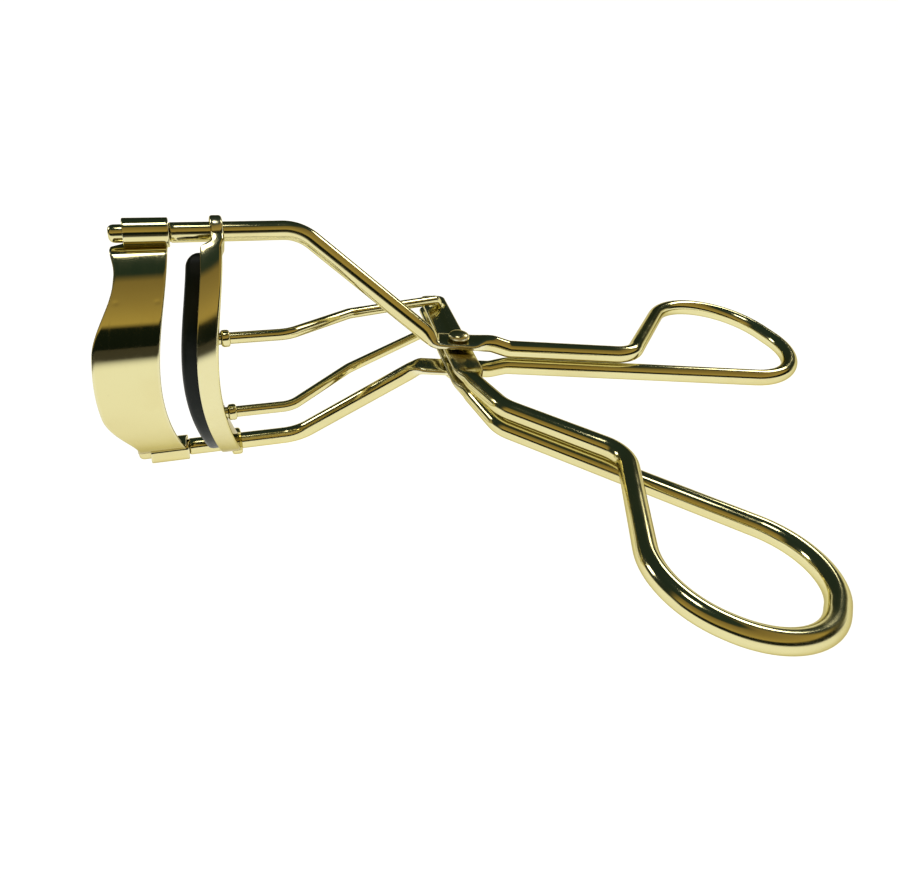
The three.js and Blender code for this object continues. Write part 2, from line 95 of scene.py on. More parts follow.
def smooth(value: float, start: float, end: float) -> float:
    """Smooth step of a value.

    Args:
        value: the value.
        start: where the step begins, and the result is 0.
        end: where the step ends, and the result is 1.

    Returns:
        The step's height, from 0 to 1.
    """
    share = min(max((value - start) / (end - start), 0.0), 1.0)
    return share * share * (3 - 2 * share)


@dataclass(frozen=True)
class CurlerAxes:
    """The curler's own axes in the row frame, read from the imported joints."""

    origin: Vector
    ahead: Vector
    left: Vector

    @classmethod
    def from_joints(cls, joints: Iterable[dict]) -> "CurlerAxes":
        """Finds the axes.

        Args:
            joints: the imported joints, with the rivet's hinge and the jaw's slide.

        Returns:
            The axes with their origin at the middle of the rivet.
        """
        named = {joint["name"]: joint for joint in joints}
        hinge, slide = named["handle_squeeze"], named["jaw_slide"]
        left = Vector(hinge["axis"]).normalized()
        ahead = Vector(slide["axis"])
        ahead = (ahead - left * ahead.dot(left)).normalized()
        return cls(Vector(hinge["pos_m"]), ahead, left)

    @property
    def away(self) -> Vector:
        """The z axis, which points away from the handles."""
        return self.ahead.cross(self.left)

    def placing(self) -> Matrix:
        """Matrix from millimetres in the curler's axes to metres in the row frame."""
        turn = Matrix((self.ahead, self.left, self.away)).transposed().to_4x4()
        return Matrix.Translation(self.origin) @ turn @ Matrix.Scale(MM, 4)


AXES = CurlerAxes.from_joints(frame["joints"])


# ------------------------------------------------------------------ node trees


class Socket:
    """An output socket that Python's operators turn into Math nodes."""

    def __init__(self, nodes: "Nodes", link: bpy.types.NodeSocket) -> None:
        """Wraps a socket of a tree that nodes builds."""
        self.nodes = nodes
        self.link = link

    def _math(self, operation: str, *values: "Socket | float") -> "Socket":
        """Adds one Math node on these values."""
        return self.nodes.add(
            "ShaderNodeMath", {"operation": operation}, dict(enumerate(values))
        )

    def __add__(self, other: "Socket | float") -> "Socket":
        """self + other."""
        return self._math("ADD", self, other)

    def __radd__(self, other: float) -> "Socket":
        """other + self."""
        return self._math("ADD", other, self)

    def __sub__(self, other: "Socket | float") -> "Socket":
        """self - other."""
        return self._math("SUBTRACT", self, other)

    def __rsub__(self, other: float) -> "Socket":
        """other - self."""
        return self._math("SUBTRACT", other, self)

    def __mul__(self, other: "Socket | float") -> "Socket":
        """self * other."""
        return self._math("MULTIPLY", self, other)

    def __rmul__(self, other: float) -> "Socket":
        """other * self."""
        return self._math("MULTIPLY", other, self)

    def __truediv__(self, other: "Socket | float") -> "Socket":
        """self / other."""
        return self._math("DIVIDE", self, other)

    def __pow__(self, other: "Socket | float") -> "Socket":
        """self to the power of other."""
        return self._math("POWER", self, other)

    def clamped(self) -> "Socket":
        """The value kept between 0 and 1."""
        return self.nodes.add("ShaderNodeClamp", {}, {0: self})

    def step(self, start: float, end: float) -> "Socket":
        """A smooth step of the value from 0 at start to 1 at end."""
        return self.nodes.add(
            "ShaderNodeMapRange",
            {"interpolation_type": "SMOOTHSTEP"},
            {0: self, 1: start, 2: end},
        )


class Nodes:
    """Builds one node tree, node by node."""

    def __init__(self, tree: bpy.types.NodeTree) -> None:
        """Starts on a tree that may already hold nodes."""
        self.tree = tree

    def add(
        self,
        kind: str,
        settings: dict | None = None,
        sockets: dict | None = None,
        output: int | str = 0,
    ) -> Socket:
        """Adds a node.

        Args:
            kind: the node's type.
            settings: the node's own settings, which are set first.
            sockets: a value or a Socket for each input, by name or by number.
            output: the output that is wanted, by name or by number.

        Returns:
            That output.
        """
        node = self.tree.nodes.new(kind)
        for name, value in (settings or {}).items():
            setattr(node, name, value)
        for key, value in (sockets or {}).items():
            self.feed(node, key, value)
        return Socket(self, node.outputs[output]) if len(node.outputs) else Socket(self, None)

    def feed(self, node: bpy.types.Node, key: int | str, value: object) -> None:
        """Sets or links one input of a node."""
        if isinstance(value, Socket):
            self.tree.links.new(value.link, node.inputs[key])
        else:
            node.inputs[key].default_value = value

    def vector(self, operation: str, *values: object, output: int = 0) -> Socket:
        """Adds one Vector Math node."""
        return self.add(
            "ShaderNodeVectorMath", {"operation": operation}, dict(enumerate(values)), output
        )

    def scaled(self, vector: Socket, factor: Socket | float) -> Socket:
        """A vector times a number."""
        return self.add(
            "ShaderNodeVectorMath", {"operation": "SCALE"}, {0: vector, "Scale": factor}
        )

    def colour(self, factor: Socket | float, first: object, second: object) -> Socket:
        """Mixes two colours."""
        return self.add(
            "ShaderNodeMix", {"data_type": "RGBA"}, {0: factor, 6: first, 7: second}, 2
        )


# ------------------------------------------------------------------ finishes


GRAIN = "grain"  # attribute: place along, across and over the piece's own surface, in metres
EDGE = "edge_wear"  # attribute: 1 on an edge that is rubbed, 0 on a face


class ShaderNodes(Nodes):
    """Builds a material round one Principled shader."""

    def __init__(self, name: str) -> None:
        """Starts a new material of that name."""
        self.material = bpy.data.materials.new(name)
        self.material.use_nodes = True
        super().__init__(self.material.node_tree)
        self.shader = self.tree.nodes["Principled BSDF"]

    def place(self) -> Socket:
        """The place in the object, in metres."""
        return self.add("ShaderNodeTexCoord", output="Object")

    def attribute(self, name: str, output: str) -> Socket:
        """One of the piece's own attributes."""
        return self.add("ShaderNodeAttribute", {"attribute_name": name}, output=output)

    def stretched(self, vector: Socket, scale: tuple[float, float, float]) -> Socket:
        """A vector whose three parts are scaled apart."""
        return self.add("ShaderNodeMapping", {}, {"Vector": vector, "Scale": scale})

    def noise(self, vector: Socket, scale: float, detail: float = 3.0) -> Socket:
        """Noise from 0 to 1 about a scale given in features for each metre."""
        return self.add(
            "ShaderNodeTexNoise", {}, {"Vector": vector, "Scale": scale, "Detail": detail}
        )

    def specks(self, vector: Socket, scale: float, size: float) -> Socket:
        """1 at the middle of scattered specks and 0 between them."""
        distance = self.add(
            "ShaderNodeTexVoronoi", {}, {"Vector": vector, "Scale": scale}, "Distance"
        )
        return 1 - distance.step(0.0, size)

    def finish(
        self, colour: Socket, roughness: Socket, height: Socket, depth: float, metallic: float
    ) -> bpy.types.Material:
        """Feeds the shader.

        Args:
            colour: the base colour.
            roughness: the roughness.
            height: the relief, from 0 to 1.
            depth: what a height of 1 stands for, in metres.
            metallic: 1 for bare metal and plate, 0 for rubber and paint.

        Returns:
            The finished material.
        """
        bump = self.add("ShaderNodeBump", {}, {"Height": height, "Distance": depth})
        self.feed(self.shader, "Base Color", colour)
        self.feed(self.shader, "Roughness", roughness)
        self.feed(self.shader, "Normal", bump)
        self.feed(self.shader, "Metallic", metallic)
        return self.material


@dataclass(frozen=True)
class Pattern:
    """A noise: its features for each metre, its octaves, and the band that it steps up over."""

    scale: float
    detail: float = 3.0
    rise: Band | None = None

    def on(self, nodes: ShaderNodes, vector: Socket) -> Socket:
        """The pattern over a vector, as it is or stepped."""
        noise = nodes.noise(vector, self.scale, self.detail)
        return noise.step(*self.rise) if self.rise else noise


@dataclass(frozen=True)
class Specks:
    """Scattered specks: how closely they lie, how large they are, and where they gather."""

    scale: float
    size: float
    gathering: Pattern

    def on(self, nodes: ShaderNodes, vector: Socket) -> Socket:
        """1 at the middle of a speck and 0 between them."""
        return nodes.specks(vector, self.scale, self.size) * self.gathering.on(nodes, vector)


@dataclass(frozen=True)
class GoldPlate:
    """Bright champagne-gold plate over steel, with what its making and use left on it."""

    name: str
    tone: Tone = (0.72, 0.67, 0.36, 1)
    warm_tone: Tone = (0.64, 0.54, 0.24, 1)
    worn_tone: Tone = (0.80, 0.77, 0.56, 1)
    pit_tone: Tone = (0.2, 0.15, 0.06, 1)
    edge_tint: Tone = (0.55, 0.50, 0.32, 1)
    hairlines: tuple[float, float, float] = (35, 2600, 2600)
    fine_lines: tuple[float, float, float] = (90, 9000, 9000)
    scratch_band: Band = (0.55, 0.75)
    smudges: Pattern = Pattern(160, 4.0, (0.46, 0.72))
    patches: Pattern = Pattern(55, 2.0, (0.35, 0.75))
    waves: Pattern = Pattern(420, 1.0)
    rubbing: Pattern = Pattern(1500)
    pitting: Specks = Specks(900, 0.12, Pattern(240, 3.0, (0.5, 0.7)))
    polish: float = 0.09
    haze: float = 0.09
    line_roughness: float = 0.05
    line_depth: float = 0.35
    waviness: float = 0.4
    relief: float = 2.2e-6
    pits: float = 0.25

    def material(self) -> bpy.types.Material:
        """Builds the material.

        Returns:
            The plate, with hairlines along the grain, smudges, pits and rubbed edges.
        """
        nodes = ShaderNodes(self.name)
        place = nodes.place()
        grain = nodes.attribute(GRAIN, "Vector")
        worn = nodes.attribute(EDGE, "Fac")
        lines = nodes.noise(nodes.stretched(grain, self.hairlines), 1.0, 2.0)
        finer = nodes.noise(nodes.stretched(grain, self.fine_lines), 1.0, 1.0)
        smudges = self.smudges.on(nodes, place)
        patches = self.patches.on(nodes, place)
        waves = self.waves.on(nodes, place)
        pits = self.pitting.on(nodes, place)
        scratches = lines.step(*self.scratch_band)
        rubbed = (worn * (0.4 + self.rubbing.on(nodes, place) * 0.9)).clamped()
        tinted = nodes.colour(patches * 0.35 + smudges * 0.15, self.tone, self.warm_tone)
        coloured = nodes.colour(rubbed * 0.7, tinted, self.worn_tone)
        pitted = nodes.colour(pits * self.pits, coloured, self.pit_tone)
        roughness = (
            self.polish
            + smudges * self.haze
            + scratches * self.line_roughness
            + finer * 0.02
            + rubbed * 0.12
            + pits * 0.2
        )
        height = (
            waves * self.waviness
            + scratches * self.line_depth * -1
            + finer * 0.05
            - pits * (2 * self.pits)
        )
        nodes.feed(nodes.shader, "Specular Tint", self.edge_tint)
        return nodes.finish(pitted, roughness, height, self.relief, 1.0)


@dataclass(frozen=True)
class MouldedRubber:
    """Smooth black rubber with a soft sheen, a little dust and a line worn by the lashes."""

    name: str
    tone: Tone = (0.005, 0.009, 0.007, 1)
    dusty_tone: Tone = (0.035, 0.038, 0.034, 1)
    dust_tone: Tone = (0.12, 0.12, 0.10, 1)
    skin: Pattern = Pattern(5200)
    cloud: Pattern = Pattern(320, 4.0, (0.4, 0.75))
    dust: Specks = Specks(1500, 0.16, Pattern(500, 3.0, (0.52, 0.66)))
    sheen_roughness: float = 0.30
    specular: float = 0.16
    relief: float = 9e-6

    def material(self) -> bpy.types.Material:
        """Builds the material.

        Returns:
            The rubber, clouded, dusty and duller where the lashes rub it.
        """
        nodes = ShaderNodes(self.name)
        place = nodes.place()
        worn = nodes.attribute(EDGE, "Fac")
        skin = self.skin.on(nodes, place)
        cloud = self.cloud.on(nodes, place)
        dust = self.dust.on(nodes, place)
        mottled = nodes.colour(cloud * 0.35 + worn * 0.5, self.tone, self.dusty_tone)
        dusted = nodes.colour(dust * 0.5, mottled, self.dust_tone)
        roughness = self.sheen_roughness + cloud * 0.12 + worn * 0.12 + dust * 0.3
        height = skin * 0.5 + dust * 0.6
        nodes.feed(nodes.shader, "Specular IOR Level", self.specular)
        return nodes.finish(dusted, roughness, height, self.relief, 0.0)


class Finish(Enum):
    """The finishes of the curler's pieces."""

    WIRE = GoldPlate("gold_plated_wire")
    SHEET = GoldPlate(
        "gold_plated_sheet", polish=0.055, line_depth=0.15, waviness=0.2, pits=0.12, haze=0.05
    )
    RIVET = GoldPlate("gold_plated_rivet", polish=0.14, waviness=2.6, relief=8e-6, haze=0.12)
    RUBBER = MouldedRubber("black_lash_rubber")

    def material(self) -> bpy.types.Material:
        """The finish's material, made when it is first asked for."""
        known = bpy.data.materials.get(self.value.name)
        return known or self.value.material()


# ------------------------------------------------------------------ meshes


CORNER_STEPS = 4  # in each rounded corner of an outline
CUTTER_SEGMENTS = 64
TURNED_WEAR = 0.25  # how rubbed a turned ring is all over


def new_object(name: str, mesh: bpy.types.Mesh) -> bpy.types.Object:
    """Puts a mesh into the scene as an object at the origin.

    Args:
        name: the object's name.
        mesh: its mesh.

    Returns:
        The object.
    """
    made = bpy.data.objects.new(name, mesh)
    bpy.context.scene.collection.objects.link(made)
    return made


def set_attribute(
    mesh: bpy.types.Mesh, name: str, kind: str, values: Sequence[object]
) -> None:
    """Stores one value for each point of a mesh.

    Args:
        mesh: the mesh.
        name: the attribute's name.
        kind: FLOAT or FLOAT_VECTOR.
        values: the values, in the order of the mesh's points.
    """
    layer = mesh.attributes.new(name, kind, "POINT")
    target = "vector" if kind == "FLOAT_VECTOR" else "value"
    layer.data.foreach_set(target, np.asarray(values, np.float32).ravel())


def baked(made: bpy.types.Object) -> bpy.types.Object:
    """Turns an object's modifiers into its plain mesh.

    Args:
        made: the object.

    Returns:
        The same object, without modifiers.
    """
    graph = bpy.context.evaluated_depsgraph_get()
    mesh = bpy.data.meshes.new_from_object(made.evaluated_get(graph))
    made.modifiers.clear()
    made.data = mesh
    return made


def shaded(mesh: bpy.types.Mesh, crease: float = 38.0) -> None:
    """Shades a mesh smooth except across edges sharper than crease, in degrees."""
    mesh.shade_smooth()
    mesh.set_sharp_from_angle(angle=math.radians(crease))


@dataclass(frozen=True)
class RingPoint:
    """One point of a section ring, with its place on the surface and its wear."""

    place: Vector
    grain: tuple[float, float, float]
    wear: float = 0.0


def skinned(
    name: str, rings: Sequence[Sequence[RingPoint]], closed: bool = False
) -> bpy.types.Object:
    """Skins section rings into one closed body.

    Args:
        name: the new object's name.
        rings: rings of equally many points, in millimetres in the curler's axes.
        closed: joins the last ring to the first instead of closing both ends.

    Returns:
        The object, in the row frame, with its faces pointing outwards.
    """
    size, count = len(rings[0]), len(rings)
    around = np.arange(size)
    faces: list[tuple[int, ...]] = []
    for ring in range(count if closed else count - 1):
        near, far = ring * size, ((ring + 1) % count) * size
        for i in around:
            j = (i + 1) % size
            faces.append((near + i, near + j, far + j, far + i))
    if not closed:
        faces.append(tuple(int(i) for i in around[::-1]))
        faces.append(tuple(int((count - 1) * size + i) for i in around))
    points = [point for ring in rings for point in ring]
    mesh = bpy.data.meshes.new(name)
    mesh.from_pydata([point.place for point in points], [], faces)
    set_attribute(mesh, GRAIN, "FLOAT_VECTOR", [[v * MM for v in p.grain] for p in points])
    set_attribute(mesh, EDGE, "FLOAT", [p.wear for p in points])
    mesh.transform(AXES.placing())
    if signed_volume(mesh) < 0:
        mesh.flip_normals()
    shaded(mesh)
    return new_object(name, mesh)


def signed_volume(mesh: bpy.types.Mesh) -> float:
    """Measures which way a closed mesh's faces point.

    Args:
        mesh: the mesh.

    Returns:
        Six times the volume inside it, negative if its faces point inwards.
    """
    mesh.calc_loop_triangles()
    points = np.array([vertex.co for vertex in mesh.vertices])
    corners = np.array([triangle.vertices for triangle in mesh.loop_triangles])
    first, second, third = (points[corners[:, i]] for i in range(3))
    return float(np.einsum("ij,ij->i", first, np.cross(second, third)).sum())


def rounded_outline(corners: Sequence[tuple[float, float, float]]) -> Profile:
    """Rounds the corners of a closed outline.

    Args:
        corners: (x, y, radius) of each corner, in order round the outline.

    Returns:
        The outline's points.
    """
    outline: list[tuple[float, float]] = []
    for index, (x, y, radius) in enumerate(corners):
        here = np.array((x, y))
        back = np.array(corners[index - 1][:2]) - here
        ahead = np.array(corners[(index + 1) % len(corners)][:2]) - here
        back, ahead = back / np.linalg.norm(back), ahead / np.linalg.norm(ahead)
        half = math.acos(max(-1.0, min(1.0, float(back @ ahead)))) / 2
        reach = radius / math.tan(half)
        centre = here + (back + ahead) / np.linalg.norm(back + ahead) * radius / math.sin(half)
        start, end = here + back * reach - centre, here + ahead * reach - centre
        for step in range(CORNER_STEPS + 1):
            arm = start + (end - start) * step / CORNER_STEPS
            point = centre + arm / np.linalg.norm(arm) * radius
            outline.append((float(point[0]), float(point[1])))
    return outline


def lathed(
    name: str, profile: Profile, start: Vector, axis: Vector, segments: int = 72
) -> bpy.types.Object:
    """Turns a closed profile round an axis into a ring-shaped body.

    Args:
        name: the new object's name.
        profile: (distance along the axis, radius) of its points.
        start: where the axis starts.
        axis: the axis, of length 1.
        segments: the segments round it.

    Returns:
        The body.
    """
    across = axis.orthogonal().normalized()
    other = axis.cross(across)
    rings = []
    for step in range(segments):
        turn = 2 * math.pi * step / segments
        arm = across * math.cos(turn) + other * math.sin(turn)
        ring = []
        for along, radius in profile:
            place = start + axis * along + arm * radius
            ring.append(RingPoint(place, (turn * radius, along, radius), TURNED_WEAR))
        rings.append(ring)
    return skinned(name, rings, closed=True)


def cut(made: bpy.types.Object, cutters: Sequence[bpy.types.Object]) -> bpy.types.Object:
    """Cuts the cutters out of an object and removes them."""
    return combined(made, cutters, "DIFFERENCE")


def combined(
    made: bpy.types.Object, others: Sequence[bpy.types.Object], operation: str
) -> bpy.types.Object:
    """Runs one Boolean after another on an object.

    Args:
        made: the object that is changed.
        others: the objects it is combined with, which are removed.
        operation: DIFFERENCE or UNION.

    Returns:
        The changed object.
    """
    for other in others:
        modifier = made.modifiers.new("combine", "BOOLEAN")
        modifier.operation, modifier.solver, modifier.object = operation, "EXACT", other
    baked(made)
    for other in others:
        bpy.data.objects.remove(other)
    shaded(made.data)
    return made


def round_bar(radius: float, start: Vector, end: Vector) -> bpy.types.Object:
    """Makes a plain round bar, used only as a cutter.

    Args:
        radius: the bar's radius.
        start: the middle of one end.
        end: the middle of the other end.

    Returns:
        The bar.
    """
    axis = (end - start).normalized()
    across = axis.orthogonal().normalized()
    other = axis.cross(across)
    rings = []
    for centre in (start, end):
        turns = [2 * math.pi * step / CUTTER_SEGMENTS for step in range(CUTTER_SEGMENTS)]
        arms = [(across * math.cos(turn) + other * math.sin(turn)) * radius for turn in turns]
        rings.append([RingPoint(centre + arm, (0, 0, 0)) for arm in arms])
    return skinned("cutter", rings)


# ------------------------------------------------------------------ bent wire


@dataclass(frozen=True)
class Corner:
    """One corner of a wire's route: where the straight runs meet, and the bend's radius."""

    point: Vector
    radius: float = 0.0


BEND_STEP = math.radians(3)
RUN_STEP = 0.8  # the longest straight stretch without a ring, in millimetres
SAME_PLACE = 1e-5  # points nearer than this are one point, in millimetres


def bent(corners: Sequence[Corner]) -> list[Vector]:
    """Rounds each bend of a route.

    Args:
        corners: the route's corners, from end to end.

    Returns:
        The points of the route.
    """
    route: list[Vector] = []
    for index, corner in enumerate(corners):
        if not corner.radius:
            route.append(corner.point.copy())
            continue
        back = (corners[index - 1].point - corner.point).normalized()
        ahead = (corners[index + 1].point - corner.point).normalized()
        turn = math.pi - back.angle(ahead)
        reach = corner.radius * math.tan(turn / 2)
        inwards = (back + ahead).normalized()
        centre = corner.point + inwards * (corner.radius / math.cos(turn / 2))
        start = corner.point + back * reach - centre
        axis = start.cross(corner.point + ahead * reach - centre).normalized()
        steps = max(3, math.ceil(turn / BEND_STEP))
        for step in range(steps + 1):
            route.append(Matrix.Rotation(turn * step / steps, 3, axis) @ start + centre)
    return route


def divided(route: Sequence[Vector]) -> list[Vector]:
    """Divides a route so that no stretch is longer than RUN_STEP.

    Args:
        route: the route's points.

    Returns:
        The same route with more points, and none twice.
    """
    made = [route[0]]
    for near, far in zip(route, route[1:]):
        length = (far - near).length
        if length < SAME_PLACE:
            continue
        pieces = max(1, math.ceil(length / RUN_STEP))
        made += [near.lerp(far, piece / pieces) for piece in range(1, pieces + 1)]
    return made


class WirePress:
    """Geometry Nodes that draw a wire along a route and press it flat where the route says.

    The route is a mesh of single edges. Its points carry the wire's half width and half
    thickness; the thickness is measured towards the press axis.
    """

    HALF_WIDTH = "half_width"
    HALF_THICKNESS = "half_thickness"
    NAME = "drawn_and_pressed_wire"

    def __init__(self, points_round: int = 40, face_share: float = 3.2) -> None:
        """Keeps the number of points round the wire and how sharply its faces begin."""
        self.points_round = points_round
        self.face_share = face_share

    def tree(self) -> bpy.types.NodeTree:
        """Builds the node tree when it is first asked for.

        Returns:
            The tree, which all drawn wires share.
        """
        known = bpy.data.node_groups.get(self.NAME)
        if known:
            return known
        tree = bpy.data.node_groups.new(self.NAME, "GeometryNodeTree")
        face = tree.interface
        face.new_socket("Route", in_out="INPUT", socket_type="NodeSocketGeometry")
        face.new_socket("Points Round", in_out="INPUT", socket_type="NodeSocketInt")
        face.new_socket("Press Axis", in_out="INPUT", socket_type="NodeSocketVector")
        face.new_socket("Face Share", in_out="INPUT", socket_type="NodeSocketFloat")
        face.new_socket("Finish", in_out="INPUT", socket_type="NodeSocketMaterial")
        face.new_socket("Wire", in_out="OUTPUT", socket_type="NodeSocketGeometry")
        nodes = Nodes(tree)
        given = tree.nodes.new("NodeGroupInput")
        route, count, axis, share, finish = (Socket(nodes, out) for out in given.outputs[:5])
        curve = nodes.add("GeometryNodeMeshToCurve", {}, {0: route})
        capture = tree.nodes.new("GeometryNodeCaptureAttribute")
        for kind, name in (("VECTOR", "Centre"), ("VECTOR", "Heading"), ("FLOAT", "Travelled")):
            capture.capture_items.new(kind, name)
        nodes.feed(capture, 0, curve)
        nodes.feed(capture, 1, nodes.add("GeometryNodeInputPosition"))
        nodes.feed(capture, 2, nodes.add("GeometryNodeInputTangent"))
        nodes.feed(capture, 3, nodes.add("GeometryNodeSplineParameter", output="Length"))
        kept, centre, heading, travelled = (Socket(nodes, out) for out in capture.outputs[:4])
        circle = nodes.add(
            "GeometryNodeCurvePrimitiveCircle", {}, {"Resolution": count, "Radius": MM}
        )
        skin = nodes.add(
            "GeometryNodeCurveToMesh",
            {},
            {"Curve": kept, "Profile Curve": circle, "Fill Caps": True},
        )
        along = nodes.vector("DOT_PRODUCT", axis, heading, output=1)
        up = nodes.vector("NORMALIZE", nodes.vector("SUBTRACT", axis, nodes.scaled(heading, along)))
        across = nodes.vector("CROSS_PRODUCT", heading, up)
        arm = nodes.vector("SUBTRACT", nodes.add("GeometryNodeInputPosition"), centre)
        arm = nodes.vector("NORMALIZE", arm)
        cosine = nodes.vector("DOT_PRODUCT", arm, across, output=1)
        sine = nodes.vector("DOT_PRODUCT", arm, up, output=1)
        width = self._size(nodes, self.HALF_WIDTH)
        thickness = self._size(nodes, self.HALF_THICKNESS)
        end = nodes.add("ShaderNodeMath", {"operation": "MINIMUM"}, {0: width, 1: thickness})
        sideways = self._spread(nodes, cosine * share) * (width - end) + cosine * end
        upwards = self._spread(nodes, sine * share) * (thickness - end) + sine * end
        moved = nodes.vector(
            "ADD",
            centre,
            nodes.vector("ADD", nodes.scaled(across, sideways), nodes.scaled(up, upwards)),
        )
        pressed = nodes.add("GeometryNodeSetPosition", {}, {0: skin, "Position": moved})
        grain = nodes.add("ShaderNodeCombineXYZ", {}, {0: travelled, 1: sideways, 2: upwards})
        stored = nodes.add(
            "GeometryNodeStoreNamedAttribute",
            {"data_type": "FLOAT_VECTOR", "domain": "POINT"},
            {0: pressed, "Name": GRAIN, "Value": grain},
        )
        wear = (width / thickness - 1.0).clamped() * (cosine * cosine) ** 3.0
        stored = nodes.add(
            "GeometryNodeStoreNamedAttribute",
            {"data_type": "FLOAT", "domain": "POINT"},
            {0: stored, "Name": EDGE, "Value": wear},
        )
        real = nodes.add("GeometryNodeRealizeInstances", {}, {0: stored})
        dressed = nodes.add("GeometryNodeSetMaterial", {}, {0: real, "Material": finish})
        nodes.add("NodeGroupOutput", {}, {0: dressed})
        return tree

    @staticmethod
    def _size(nodes: Nodes, name: str) -> Socket:
        """Reads one of the route's sizes."""
        return nodes.add("GeometryNodeInputNamedAttribute", {"data_type": "FLOAT"}, {"Name": name})

    @staticmethod
    def _spread(nodes: Nodes, value: Socket) -> Socket:
        """The value kept between -1 and 1."""
        return nodes.add("ShaderNodeClamp", {}, {0: value, 1: -1.0, 2: 1.0})

    def draw(
        self, name: str, route: Sequence[Vector], size: SizeRule, axis: Vector, finish: Finish
    ) -> bpy.types.Object:
        """Draws one wire.

        Args:
            name: the piece's name.
            route: its centre line, in millimetres in the curler's axes.
            size: gives the half width and half thickness at a place on the route.
            axis: the press axis, in the curler's axes.
            finish: the wire's finish.

        Returns:
            The wire as a plain mesh in the row frame.
        """
        route = divided(route)
        mesh = bpy.data.meshes.new(name)
        mesh.from_pydata(route, [(i, i + 1) for i in range(len(route) - 1)], [])
        sizes = [size(point) for point in route]
        set_attribute(mesh, self.HALF_WIDTH, "FLOAT", [width * MM for width, _ in sizes])
        set_attribute(mesh, self.HALF_THICKNESS, "FLOAT", [over * MM for _, over in sizes])
        placing = AXES.placing()
        mesh.transform(placing)
        made = new_object(name, mesh)
        modifier = made.modifiers.new("wire", "NODES")
        tree = self.tree()
        modifier.node_group = tree
        inputs = {
            "Points Round": self.points_round,
            "Press Axis": (placing.to_3x3() @ axis).normalized(),
            "Face Share": self.face_share,
            "Finish": finish.material(),
        }
        for item in tree.interface.items_tree:
            if item.name in inputs:
                modifier[item.identifier] = inputs[item.name]
        baked(made)
        if signed_volume(made.data) < 0:
            made.data.flip_normals()
        shaded(made.data)
        return made


# ------------------------------------------------------------------ shared shape rules


@dataclass(frozen=True)
class Handle:
    """A handle in the plane of motion: along runs away from the pivot, out to its outside."""

    x: float
    z: float
    angle: float
    outwards: int
    half_gap: float = 1.44

    def place(self, along: float, out: float, y: float) -> Vector:
        """Finds a place beside the handle.

        Args:
            along: distance along the handle, away from the pivot.
            out: distance out from its centre line.
            y: place across the curler.

        Returns:
            The place in the curler's axes.
        """
        cosine, sine = math.cos(self.angle), math.sin(self.angle)
        return Vector(
            (
                self.x - cosine * along - sine * out * self.outwards,
                y,
                self.z - sine * along + cosine * out * self.outwards,
            )
        )


@dataclass(frozen=True)
class FingerLoop:
    """A finger loop, bent round corners (along, out, radius) from outer wire to inner wire."""

    corners: tuple[tuple[float, float, float], ...]
    approach: float = 8.0
    side_step_from: float = 0.35

    @property
    def begin(self) -> float:
        """Where the handle's straight wires end before the loop."""
        return self.corners[0][0] - self.approach

    def route(self, handle: Handle) -> list[Vector]:
        """Bends the loop, which steps across from the left wire to the right one.

        Args:
            handle: the handle that the loop ends.

        Returns:
            The loop's centre line, without the ends that the handle's own route gives.
        """
        first, last = self.corners[0][0], self.corners[-1][0]
        bends = bent(
            [
                Corner(handle.place(first - self.approach, 0, 0)),
                *(Corner(handle.place(a, o, 0), radius) for a, o, radius in self.corners),
                Corner(handle.place(last - self.approach, 0, 0)),
            ]
        )
        flat = divided(bends[1:-1])
        lengths = [0.0]
        for near, far in zip(flat, flat[1:]):
            lengths.append(lengths[-1] + (far - near).length)
        for point, length in zip(flat, lengths):
            share = smooth(length / lengths[-1], self.side_step_from, 1.0)
            point.y = handle.half_gap * (1 - 2 * share)
        return flat


@dataclass(frozen=True)
class Rods:
    """The frame's two rods, of which the right one stands a little further forward."""

    y: float = 16.9
    z: float = 8.9
    rack: float = 1.2

    def racked(self, y: float) -> float:
        """How far forward the racked frame carries a place at this distance across it."""
        return self.rack * (1 - y / self.y) / 2

    def point(self, x: float, side: Side) -> Vector:
        """Finds a place on a rod's axis.

        Args:
            x: distance along the rod, before the rack.
            side: which rod.

        Returns:
            The place in the curler's axes.
        """
        y = side.value * self.y
        return Vector((x + self.racked(y), y, self.z))


RODS = Rods()


@dataclass(frozen=True)
class JawArc:
    """The arc of both jaws, which passes through the rods and bows forward in its middle."""

    radius: float = 19.15
    bow: float = 2.5

    @property
    def centre_z(self) -> float:
        """Height of the arc's centre."""
        return RODS.z + math.sqrt(self.radius**2 - RODS.y**2)

    @property
    def rod_angle(self) -> float:
        """The angle from the arc's lowest point to a rod."""
        return math.asin(RODS.y / self.radius)

    def share(self, angle: float) -> float:
        """0 at the jaw's middle and 1 at the rods."""
        return min(abs(angle) / self.rod_angle, 1.0)

    def point(self, x: float, angle: float, radius: float) -> Vector:
        """Finds a place on a jaw.

        Args:
            x: distance along the rods, as measured beside them.
            angle: angle from the arc's lowest point, plus to the left.
            radius: distance from the arc's centre.

        Returns:
            The place in the curler's axes.
        """
        bow = self.bow * (1 + math.cos(math.pi * self.share(angle))) / 2
        return Vector(
            (x + bow, radius * math.sin(angle), self.centre_z - radius * math.cos(angle))
        )


ARC = JawArc()
Y_AXIS = Vector((0, 1, 0))
Z_AXIS = Vector((0, 0, 1))
WIRE_RADIUS = 1.3
CLEARANCE = 0.3
CUTTER_REACH = 6.0  # past both flats of either wire


def across_cutter(radius: float, x: float, z: float) -> bpy.types.Object:
    """A cutter that runs through both flats of a wire."""
    return round_bar(radius, Vector((x, -CUTTER_REACH, z)), Vector((x, CUTTER_REACH, z)))


# ------------------------------------------------------------------ sub-assemblies


